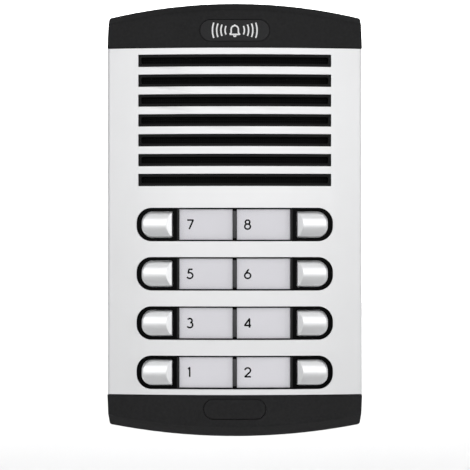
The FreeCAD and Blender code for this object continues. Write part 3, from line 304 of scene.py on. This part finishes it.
FINISHES = {
    "aluminium": anodised_aluminium(),
    "cap": grained_plastic("cap_plastic", (0.0225, 0.0225, 0.023), 0.5, 0.6 * MM, 0.07 * MM, 0.03),
    "badge": grained_plastic("badge_plastic", (0.027, 0.027, 0.028), 0.5, 0.25 * MM, 0.02 * MM, 0.08),
    "insert": grained_plastic("grille_plastic", (0.004, 0.004, 0.004), 0.4, 0.5 * MM, 0.01 * MM, 0.12),
    "box": grained_plastic("box_plastic", (0.030, 0.031, 0.033), 0.5, 0.45 * MM, 0.04 * MM, 0.45),
    "gloss_black": gloss_black(),
    "component": grained_plastic("component_black", (0.02, 0.02, 0.021), 0.4, 0.2 * MM, 0.01 * MM),
    # Divider rib: its grey base colour is a painted reflection, standing in for the light that a flat
    # black rib reflects.
    "ridge": grained_plastic("ridge_plastic_painted_reflection", (0.034, 0.034, 0.036), 0.4, 0.4 * MM, 0.01 * MM, 0.4),
    # Card flanks: their dark grey base is partly a painted reflection of the light on the sloping
    # flanks; the rest of their shading comes from their real tilt.
    "flank": grained_plastic("flank_plastic_painted_reflection", (0.011, 0.011, 0.0115), 0.36, 0.4 * MM, 0.008 * MM, 0.2),
    "key": silver_key(),
    "cloth": acoustic_cloth(),
    "window": clear_window(),
    "card": card_paper(),
    "ink": printed("ink", (0.004, 0.004, 0.005), 0.1),
    "white_print": printed("white_print", (0.96, 0.96, 0.96), 0.3),
    "guide": milky_guide(),
    "steel": metal("zinc_steel", (0.62, 0.62, 0.63), 0.32, (1, 0.1, 1)),
    "spring": metal("spring_steel", (0.5, 0.5, 0.51), 0.25, (1, 1, 1), 0.2 * MM),
    "basket": metal("basket_steel", (0.33, 0.33, 0.34), 0.38, (1, 1, 1), 0.8 * MM),
    "ferrite": metal("ferrite", (0.06, 0.06, 0.063), 0.5, (1, 1, 1), 0.6 * MM, 0.1),
    "brass": metal("brass", (0.72, 0.52, 0.23), 0.26, (1, 0.2, 1)),
    "solder": metal("solder", (0.68, 0.68, 0.69), 0.28, (1, 1, 1), 0.5 * MM),
    "rubber": rubber("black_rubber", (0.012, 0.012, 0.012)),
    "foam": rubber("grey_foam", (0.028, 0.028, 0.03)),
    "board": circuit_board(),
    "paper_cone": paper_cone(),
    "red_lead": insulation("red_insulation", (0.42, 0.02, 0.015)),
    "black_lead": insulation("black_insulation", (0.014, 0.014, 0.015)),
    "terminal": grained_plastic("terminal_green", (0.02, 0.21, 0.075), 0.38, 0.6 * MM, 0.01 * MM, 0.5),
    "trimmer": grained_plastic("trimmer_blue", (0.015, 0.07, 0.34), 0.35, 0.6 * MM, 0.01 * MM, 0.5),
    "cream": grained_plastic("cream_nylon", (0.62, 0.58, 0.48), 0.45, 0.6 * MM, 0.01 * MM, 0.4),
}


# ---- piece helpers ---------------------------------------------------------
SAME_POINT = 0.002 * MM               # closer points are one point
FLAT_TURN = math.radians(0.25)        # faces that turn less than this are one face
SHARP_TURN = math.radians(28)         # edges that turn more than this are real edges


def add_piece(name, mesh, finish, body):
    mesh.materials.clear()
    mesh.materials.append(FINISHES[finish].material)
    piece = bpy.data.objects.new(name, mesh)
    bpy.context.scene.collection.objects.link(piece)
    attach(piece, body)
    return piece


def finish_mesh(bm, name, sharp=35):
    """Outward-facing mesh, smooth apart from its sharp edges."""
    bmesh.ops.recalc_face_normals(bm, faces=bm.faces)
    mesh = bpy.data.meshes.new(name)
    bm.to_mesh(mesh)
    bm.free()
    mesh.shade_smooth()
    mesh.set_sharp_from_angle(angle=math.radians(sharp))
    return mesh


def own_normals(mesh):
    """Smooth shading by the mesh's own faces, without normals kept from its source."""
    if "custom_normal" in mesh.attributes:
        mesh.attributes.remove(mesh.attributes["custom_normal"])
    for polygon in mesh.polygons:
        polygon.use_smooth = True


def add_bevel(piece, width, segments):
    """Rounds the edges that carry a bevel weight."""
    bevel = piece.modifiers.new("edges", "BEVEL")
    bevel.width = width
    bevel.segments = segments
    bevel.limit_method = "WEIGHT"
    bevel.profile = 0.5
    bevel.use_clamp_overlap = False
    bevel.harden_normals = True
    bevel.miter_outer = "MITER_ARC"


def merged_copy(node):
    """A frame piece as one mesh with its loose triangles joined."""
    bm = bmesh.new()
    bm.from_mesh(NODES[node].data)
    bmesh.ops.remove_doubles(bm, verts=bm.verts, dist=SAME_POINT)
    return bm


def refined(node, finish, width, segments=2):
    """Finished copy of a frame piece: merged, with its real edge radii."""
    bm = merged_copy(node)
    bmesh.ops.dissolve_limit(bm, angle_limit=FLAT_TURN, verts=bm.verts, edges=bm.edges)
    layer = bm.edges.layers.float.new("bevel_weight_edge")
    for edge in bm.edges:
        edge.smooth = edge.calc_face_angle(0.0) < SHARP_TURN
        if not edge.smooth:
            edge[layer] = 1.0
    mesh = bpy.data.meshes.new("finished_" + node)
    bm.to_mesh(mesh)
    bm.free()
    own_normals(mesh)
    piece = add_piece("finished_" + node, mesh, finish, BODY_OF[node])
    add_bevel(piece, width, segments)
    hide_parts(node)
    return piece


def dress(node, finish):
    """Only a better material; the frame piece itself stays."""
    for slot in NODES[node].material_slots:
        slot.material = FINISHES[finish].material


def centre_of(node):
    low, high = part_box(node)
    return (Vector(low) + Vector(high)) / 2


# ---- the bowed face, taken from the frame ----------------------------------
FACE_LOW, FACE_HIGH = [Vector(c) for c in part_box("face_profile")]
FACE_FRONT = FACE_LOW.y
BOW, WALL = 4.0 * MM, 2.0 * MM
BOW_R = (FACE_HIGH.x ** 2 + BOW ** 2) / (2 * BOW)


def face_y(x, depth=0.0):
    """y of the bowed surface that lies depth behind the face."""
    return FACE_FRONT + BOW_R - math.sqrt((BOW_R - depth) ** 2 - x * x)


# ---- outer pieces ----------------------------------------------------------
CLOTH_BEHIND, CLOTH_T = 1.6 * MM, 0.4 * MM


def grille_cloth():
    """Woven cloth behind the slots, drawn over the bow of the insert."""
    low, high = [Vector(c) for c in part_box("speaker_cloth")]
    front = WALL + CLOTH_BEHIND
    bm = bmesh.new()
    bmesh.ops.create_grid(bm, x_segments=40, y_segments=2, size=0.5)
    for vert in bm.verts:
        x = (low.x + high.x) / 2 + vert.co.x * (high.x - low.x)
        z = (low.z + high.z) / 2 + vert.co.y * (high.z - low.z)
        vert.co = (x, face_y(x, front), z)
    bmesh.ops.recalc_face_normals(bm, faces=bm.faces)
    bmesh.ops.solidify(bm, geom=bm.faces[:], thickness=-CLOTH_T)
    piece = add_piece("grille_cloth", finish_mesh(bm, "grille_cloth"), "cloth", "cover")
    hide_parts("speaker_cloth")


def cover_shell():
    dress("face_profile", "aluminium")
    dress("top_cap", "cap")
    dress("bottom_cap", "cap")
    refined("badge", "badge", 0.25 * MM, 3)
    refined("screw_cover", "cap", 0.25 * MM, 3)
    refined("grille_insert", "insert", 0.12 * MM, 2)
    grille_cloth()


KEY_LIP, KEY_R_OUT, KEY_R_IN = 1.0 * MM, 5.4 * MM, 0.6 * MM
KEY_VAULT, KEY_SCOOP, KEY_RIM, KEY_CREASE = 2.2 * MM, 3.0 * MM, 0.9 * MM, 0.3 * MM
KEY_COLUMNS, KEY_SCOOP_COLUMNS, KEY_ROWS = 30, 10, 40
KEY_CREASE_AT = 1 - KEY_SCOOP_COLUMNS / KEY_COLUMNS
EDGE_CROWDING = 1.6         # gathers the grid's columns near the rounded edges


def rounding(distance, radius):
    """How far a rounded edge has fallen away at a distance inside the outline."""
    if distance >= radius:
        return 0.0
    return radius - math.sqrt(max(radius ** 2 - (radius - distance) ** 2, 0.0))


def key_point(u, v, inner, outer, half, crown):
    """Point of the key's front: u runs from the round end to the card, v upwards."""
    up = half * math.sin(v * math.pi / 2)
    far = max(0.0, abs(up) - half + KEY_R_OUT)
    near = max(0.0, abs(up) - half + KEY_R_IN)
    end = outer - KEY_R_OUT + math.sqrt(max(KEY_R_OUT ** 2 - far ** 2, 0.0))
    start = inner + KEY_R_IN - math.sqrt(max(KEY_R_IN ** 2 - near ** 2, 0.0))
    vault_r = (half ** 2 + KEY_VAULT ** 2) / (2 * KEY_VAULT)
    fall = vault_r - math.sqrt(vault_r ** 2 - up ** 2)
    crease = max(inner + KEY_SCOOP * (1 - fall / KEY_VAULT), start)
    if u <= KEY_CREASE_AT + 1e-6:
        x = end + (crease - end) * (u / KEY_CREASE_AT) ** EDGE_CROWDING
    else:
        share = (u - KEY_CREASE_AT) / (1 - KEY_CREASE_AT)
        x = crease + (start - crease) * (1 - (1 - share) ** EDGE_CROWDING)
        fall = max(fall, KEY_VAULT * (inner + KEY_SCOOP - x) / KEY_SCOOP)
    round_x, round_up = x - (outer - KEY_R_OUT), abs(up) - (half - KEY_R_OUT)
    if round_x > 0 and round_up > 0:
        distance = KEY_R_OUT - math.hypot(round_x, round_up)
    else:
        distance = min(outer - x, half - abs(up))
    fall += rounding(max(distance, 0.0), KEY_RIM) + rounding(x - inner, KEY_CREASE)
    return x, crown + fall, up


def call_key(number):
    """Vaulted key with a scooped inner end; its rear is the frame's own."""
    node = "button_%d" % number
    low, high = [Vector(c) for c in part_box(node)]
    side = 1 if low.x > 0 else -1
    outer = max(abs(low.x), abs(high.x)) - KEY_LIP
    inner = min(abs(low.x), abs(high.x)) + KEY_LIP
    middle = (low.z + high.z) / 2
    half = (high.z - low.z) / 2 - KEY_LIP
    seam = low.y + KEY_VAULT + KEY_RIM + KEY_CREASE
    bm = bmesh.new()
    bmesh.ops.create_grid(bm, x_segments=KEY_COLUMNS, y_segments=KEY_ROWS, size=0.5)
    for edge in bm.edges:
        edge.smooth = not all(abs(v.co.x + 0.5 - KEY_CREASE_AT) < 1e-4 for v in edge.verts)
    for vert in bm.verts:
        x, y, up = key_point(vert.co.x + 0.5, vert.co.y * 2, inner, outer, half, low.y)
        vert.co = (side * x, y, middle + up)
    bmesh.ops.remove_doubles(bm, verts=bm.verts, dist=SAME_POINT)
    rim = [e for e in bm.edges if e.is_boundary]
    wall = bmesh.ops.extrude_edge_only(bm, edges=rim)["geom"]
    foot = [v for v in wall if isinstance(v, bmesh.types.BMVert)]
    for vert in foot:
        vert.co.y = seam
    bmesh.ops.holes_fill(bm, edges=[e for e in bm.edges if e.is_boundary], sides=0)
    bmesh.ops.recalc_face_normals(bm, faces=bm.faces)
    rear = merged_copy(node)
    cut = bmesh.ops.bisect_plane(rear, geom=rear.verts[:] + rear.edges[:] + rear.faces[:],
                                 plane_co=(0, seam, 0), plane_no=(0, -1, 0), clear_outer=True)
    edges = [e for e in cut["geom_cut"] if isinstance(e, bmesh.types.BMEdge)]
    bmesh.ops.holes_fill(rear, edges=edges, sides=0)
    for edge in rear.edges:
        edge.smooth = edge.calc_face_angle(0.0) < math.radians(30)
    rest = bpy.data.meshes.new("key_rear")
    rear.to_mesh(rest)
    rear.free()
    bm.from_mesh(rest)
    bpy.data.meshes.remove(rest)
    mesh = bpy.data.meshes.new("key_%d" % number)
    bm.to_mesh(mesh)
    bm.free()
    own_normals(mesh)
    piece = add_piece("call_key_%d" % number, mesh, "key", BODY_OF[node])
    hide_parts(node)


def call_keys():
    for number in range(1, 9):
        call_key(number)
        return_spring(number)


SPRING_WIRE, SPRING_TURNS, SPRING_STEPS = 0.25 * MM, 5, 28


def return_spring(number):
    """Coil with ground ends."""
    node = "return_spring_%d" % number
    low, high = [Vector(c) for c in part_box(node)]
    middle = (low + high) / 2
    outer = (high.x - low.x) / 2 - SPRING_WIRE
    steps = SPRING_TURNS * SPRING_STEPS
    rise = high.y - low.y - 2 * SPRING_WIRE
    bm = bmesh.new()
    bmesh.ops.create_circle(bm, segments=8, radius=SPRING_WIRE,
                            matrix=Matrix.Translation((outer, 0, 0)))
    turn = Matrix.Rotation(math.radians(-90), 4, "X")
    bmesh.ops.spin(bm, geom=bm.edges[:], cent=(0, 0, 0), axis=(0, 1, 0),
                   dvec=(0, rise / steps, 0), angle=math.radians(360 * SPRING_TURNS),
                   steps=steps, use_duplicate=False)
    ends = [e for e in bm.edges if e.is_boundary]
    bmesh.ops.holes_fill(bm, edges=ends, sides=8)
    bmesh.ops.translate(bm, verts=bm.verts, vec=(middle.x, low.y + SPRING_WIRE, middle.z))
    mesh = finish_mesh(bm, "coil_%d" % number, 60)
    piece = add_piece("coil_spring_%d" % number, mesh, "spring", BODY_OF[node])
    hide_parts(node)
    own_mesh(piece)


# ---- name cards and their numbers ------------------------------------------
def arc_points(cx, cz, r, start, end, steps=14):
    points = []
    for i in range(steps + 1):
        angle = math.radians(start + (end - start) * i / steps)
        points.append((cx + r * math.cos(angle), cz + r * math.sin(angle)))
    return points


# Strokes of plain round numerals on a field one unit tall.
NUMERALS = {
    1: [[(0.10, 0.84), (0.27, 1.0), (0.27, 0.0)]],
    2: [arc_points(0.32, 0.70, 0.28, 172, -38) + [(0.04, 0.02), (0.64, 0.02)]],
    3: [arc_points(0.28, 0.75, 0.23, 150, -80), arc_points(0.28, 0.29, 0.29, 80, -150)],
    4: [[(0.50, 0.0), (0.50, 0.97), (0.02, 0.24), (0.66, 0.24)]],
    5: [[(0.56, 0.98), (0.20, 0.98), (0.12, 0.56)] + arc_points(0.27, 0.31, 0.31, 112, -150)],
    6: [arc_points(0.32, 0.30, 0.30, 150, -210) + [(0.12, 0.52), (0.42, 0.99)]],
    7: [[(0.02, 0.98), (0.62, 0.98), (0.22, 0.0)]],
    8: [arc_points(0.31, 0.76, 0.22, 90, 450, 20), arc_points(0.31, 0.28, 0.28, 90, 450, 20)],
}
DIGIT_TALL, DIGIT_WIDE = 4.8 * MM, 5.2 * MM
STROKE = 0.43 * MM          # half the width of a printed line
INK_T = 0.01 * MM
CARD_DEPTH = 1.5 * MM       # of the cards' front behind the face
CARD_IN = 1.1 * MM          # from the middle to the inner edge of a card
DIGIT_IN = 3.9 * MM         # from a card's left edge to its number
PANE_GAP = 0.1 * MM
RAIL_ROOT, RAIL_BAND, RAIL_R = 1.0 * MM, 0.6 * MM, 0.12 * MM
DIVIDER_HALF, DIVIDER_DEPTH, DIVIDER_SHORT = 1.0 * MM, 0.3 * MM, 0.9 * MM
FLANK_GAP, FLANK_W, FLANK_DEPTHS = 0.15 * MM, 1.15 * MM, (0.02 * MM, 0.17 * MM)
CUT_HALF = 7.9 * MM


def full_corners(path, reach):
    """Points close to each corner, so that a pen line keeps its width up to it."""
    points = [path[0]]
    for before, corner, after in zip(path, path[1:], path[2:]):
        for neighbour in (before, None, after):
            if neighbour is None:
                points.append(corner)
                continue
            run = math.dist(corner, neighbour)
            share = min(reach / run, 0.4)
            points.append(tuple(c + (n - c) * share for c, n in zip(corner, neighbour)))
    return points + [path[-1]]


def flat_stroke(name, paths, half_width, origin, depth_of):
    """Printed strokes: round pen lines pressed flat onto a bowed surface."""
    curve = bpy.data.curves.new(name, "CURVE")
    curve.dimensions = "3D"
    curve.bevel_depth = half_width
    curve.bevel_resolution = 3
    curve.use_fill_caps = True
    for path in paths:
        path = full_corners(path, half_width * 0.4)
        spline = curve.splines.new("POLY")
        spline.points.add(len(path) - 1)
        for point, (x, z) in zip(spline.points, path):
            point.co = (origin[0] + x, 0, origin[1] + z, 1)
    holder = bpy.data.objects.new(name + "_line", curve)
    mesh = bpy.data.meshes.new_from_object(holder)
    bpy.data.objects.remove(holder)
    bm = bmesh.new()
    bm.from_mesh(mesh)
    bpy.data.meshes.remove(mesh)
    for vert in bm.verts:
        vert.co.y = depth_of(vert.co.x) + vert.co.y / half_width * INK_T
    return finish_mesh(bm, name, 60)


def rail(name, x0, x1, z0, z1, d0, d1, finish):
    """Low moulded rail that follows the bow between two heights over the face."""
    bm = bmesh.new()
    bmesh.ops.create_cube(bm, size=1.0)
    bmesh.ops.scale(bm, verts=bm.verts, vec=(x1 - x0, 1, z1 - z0))
    bmesh.ops.translate(bm, verts=bm.verts, vec=((x0 + x1) / 2, 0, (z0 + z1) / 2))
    for vert in bm.verts:
        outward = abs(vert.co.x) > (abs(x0) + abs(x1)) / 2
        front = d1 if outward else d0
        vert.co.y = face_y(vert.co.x, front if vert.co.y < 0 else RAIL_ROOT)
    ends = [e for e in bm.edges if all(v.co.y < face_y(v.co.x, RAIL_BAND) for v in e.verts)]
    bmesh.ops.bevel(bm, geom=ends, affect="EDGES", offset=RAIL_R, segments=3, profile=0.5,
                    material=-1)
    add_piece(name, finish_mesh(bm, name), finish, "cover")


def card_rails(row):
    """Divider between the two cards and a sloping flank beside each key."""
    low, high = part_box("name_frame_%d" % row)
    z = (low[2] + high[2]) / 2
    card_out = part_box("name_cards")[1][0]
    tall = CUT_HALF - DIVIDER_SHORT
    # The divider's grey finish is a painted reflection.
    rail("card_divider_%d" % row, -DIVIDER_HALF, DIVIDER_HALF, z - tall, z + tall,
         DIVIDER_DEPTH, DIVIDER_DEPTH, "ridge")
    inner = card_out + FLANK_GAP
    for side in SIDES:
        x0, x1 = sorted((side * inner, side * (inner + FLANK_W)))
        name = "card_flank_%d_%s" % (row, "right" if side > 0 else "left")
        # The flanks' dark grey finish is partly painted reflection and partly real shading from their
        # slope.
        rail(name, x0, x1, z - CUT_HALF, z + CUT_HALF, *FLANK_DEPTHS, "flank")


def name_rows():
    for row in range(1, 5):
        refined("name_frame_%d" % row, "gloss_black", 0.18 * MM, 2)
    dress("name_cards", "card")
    panes = refined("name_windows", "window", 0.1 * MM, 2)
    for vert in panes.data.vertices:
        if vert.co.y > face_y(vert.co.x, CARD_DEPTH - 3 * PANE_GAP):
            vert.co.y -= PANE_GAP
    dress("light_guides", "guide")
    for row in range(1, 5):
        card_rails(row)
    ink_depth = CARD_DEPTH - 3 * INK_T
    card_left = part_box("name_cards")[0][0]
    for number in range(1, 9):
        key = centre_of("button_%d" % number)
        start = (card_left if number % 2 else CARD_IN) + DIGIT_IN
        paths = [[(x * DIGIT_WIDE, z * DIGIT_TALL) for x, z in path] for path in NUMERALS[number]]
        mesh = flat_stroke("numeral_%d" % number, paths, STROKE,
                           (start, key.z - DIGIT_TALL / 2), lambda x: face_y(x, ink_depth))
        add_piece("numeral_%d" % number, mesh, "ink", "cover")


BELL_TALL, BELL_STROKE = 6.2 * MM, 0.38 * MM


def badge_symbol():
    """White bell with sound arcs in place of lettering."""
    middle = centre_of("badge")
    dome = [(0.5 + x, z) for x, z in arc_points(0, 0.58, 0.3, 180, 0)]
    bell = [(0.08, 0.16), (0.2, 0.3)] + dome + [(0.8, 0.3), (0.92, 0.16), (0.08, 0.16)]
    clapper = arc_points(0.5, 0.08, 0.09, 180, 360)
    knob = [(0.5, 0.88), (0.5, 0.98)]
    paths = [bell, clapper, knob]
    for side in SIDES:
        for reach, spread in ((0.8, 26), (1.15, 24), (1.5, 22), (1.85, 20)):
            mid = 0 if side > 0 else 180
            paths.append([(0.5 + x, 0.5 + z) for x, z in
                          arc_points(0, 0, reach, mid - spread, mid + spread)])
    scaled = [[((x - 0.5) * BELL_TALL, z * BELL_TALL) for x, z in path] for path in paths]
    mesh = flat_stroke("bell_symbol", scaled, BELL_STROKE,
                       (middle.x, middle.z - BELL_TALL / 2), lambda x: face_y(x) - INK_T)
    add_piece("bell_symbol", mesh, "white_print", "cover")


# ---- inside of the cover ---------------------------------------------------
def inner_parts():
    plain = {"speaker_basket": ("basket", 0.15), "speaker_magnet": ("ferrite", 0.3),
             "speaker_clamps": ("steel", 0.15), "speaker_tags": ("board", 0.1),
             "microphone": ("steel", 0.3), "button_board": ("board", 0.1),
             "audio_board": ("board", 0.1), "switches": ("component", 0.15),
             "small_screws": ("steel", 0.12), "cap_screws": ("steel", 0.12),
             "terminal_block": ("terminal", 0.2), "terminal_screws": ("steel", 0.1),
             "audio_chips": ("component", 0.15), "trimmer_bodies": ("trimmer", 0.2),
             "volume_rotor": ("cream", 0.12), "microphone_rotor": ("cream", 0.12),
             "connectors": ("cream", 0.2), "standoffs": ("brass", 0.15),
             "lock_screw": ("steel", 0.2), "label_lamps": ("guide", 0.1)}
    for node, (finish, width) in plain.items():
        refined(node, finish, width * MM, 2)
    kept = {"speaker_gasket": "foam", "speaker_cone": "paper_cone", "microphone_boot": "rubber",
            "capacitors": "component", "speaker_leads": "red_lead", "microphone_leads": "black_lead"}
    for node, finish in kept.items():
        dress(node, finish)


def back_parts():
    refined("back_box", "box", 0.35 * MM, 2)
    refined("wall_gasket", "rubber", 0.2 * MM, 2)
    refined("cable_grommet", "rubber", 0.4 * MM, 3)
    refined("lock_insert", "brass", 0.12 * MM, 2)


# ---- camera, light, floor --------------------------------------------------
VIEW_CENTRE_X, VIEW_CENTRE_Z = 0.13 * MM, -7.0 * MM
VIEW_WIDTH = 241.7 * MM
VIEW_DISTANCE = 0.6


def camera():
    data = bpy.data.cameras.new("camera")
    data.lens = data.sensor_width * VIEW_DISTANCE / VIEW_WIDTH
    eye = bpy.data.objects.new("camera", data)
    eye.location = (VIEW_CENTRE_X, FACE_FRONT - VIEW_DISTANCE, VIEW_CENTRE_Z)
    eye.rotation_euler = (math.radians(90), 0, 0)
    bpy.context.scene.collection.objects.link(eye)
    bpy.context.scene.camera = eye


def softbox(name, place, target, width, height, power):
    data = bpy.data.lights.new(name, "AREA")
    data.shape = "RECTANGLE"
    data.size = width
    data.size_y = height
    data.energy = power
    lamp = bpy.data.objects.new(name, data)
    lamp.location = place
    aim = Vector(target) - Vector(place)
    lamp.rotation_euler = aim.to_track_quat("-Z", "Y").to_euler()
    bpy.context.scene.collection.objects.link(lamp)


def lights():
    softbox("front_box", (0.05, -2.75, 0.66), (0, 0, 0), 2.6, 1.9, 32.5)
    softbox("key_box", (0.1, -2.0, 2.6), (0, 0, 0), 1.6, 1.2, 9)
    softbox("right_box", (1.68, -0.7, 0.25), (0, 0, 0), 0.6, 1.1, 5.5)
    softbox("left_box", (-1.68, -0.7, 0.25), (0, 0, 0), 0.6, 1.1, 3.0)
    softbox("floor_box", (0.0, 2.2, 1.9), (0, 2.4, -0.25), 2.6, 1.4, 100)
    world = bpy.data.worlds.new("studio")
    world.use_nodes = True
    world.node_tree.nodes["Background"].inputs["Color"].default_value = (0.95, 0.96, 1.0, 1)
    world.node_tree.nodes["Background"].inputs["Strength"].default_value = 0.15
    bpy.context.scene.world = world
    bpy.context.scene.view_settings.view_transform = "Standard"


FLOOR_BELOW, STAGE_HALF = 0.13, 3.5
WALL_BEHIND, WALL_MIDDLE_Z, WALL_GLOW = 3.4, 3.0, 1.05


def sheet_of_stage(name, finish, place, turn):
    """Large flat sheet that isn't part of the object."""
    bm = bmesh.new()
    bmesh.ops.create_grid(bm, x_segments=1, y_segments=1, size=STAGE_HALF)
    bmesh.ops.rotate(bm, verts=bm.verts, matrix=Matrix.Rotation(turn, 3, "X"))
    bmesh.ops.translate(bm, verts=bm.verts, vec=place)
    mesh = finish_mesh(bm, name)
    mesh.materials.append(finish.material)
    sheet = bpy.data.objects.new(name, mesh)
    bpy.context.scene.collection.objects.link(sheet)


def studio():
    """Pale floor and a bright plain backdrop behind it."""
    pale = Finish("pale_floor", (0.64, 0.64, 0.64), 0.9)
    pale.feed("Base Color", pale.blended(pale.noise(0.4), (0.63, 0.63, 0.63), (0.66, 0.66, 0.66)))
    sheet_of_stage("floor", pale, (0, 0, CAD_BOX[0][2] - FLOOR_BELOW), 0.0)
    glow = Finish("pale_backdrop", (0.9, 0.9, 0.9), 1.0, Emission_Strength=WALL_GLOW)
    glow.shader.inputs["Emission Color"].default_value = (1, 1, 1, 1)
    sheet_of_stage("backdrop", glow, (0, WALL_BEHIND, WALL_MIDDLE_Z), math.radians(90))


camera()
lights()
studio()
cover_shell()
call_keys()
name_rows()
badge_symbol()
inner_parts()
back_parts()
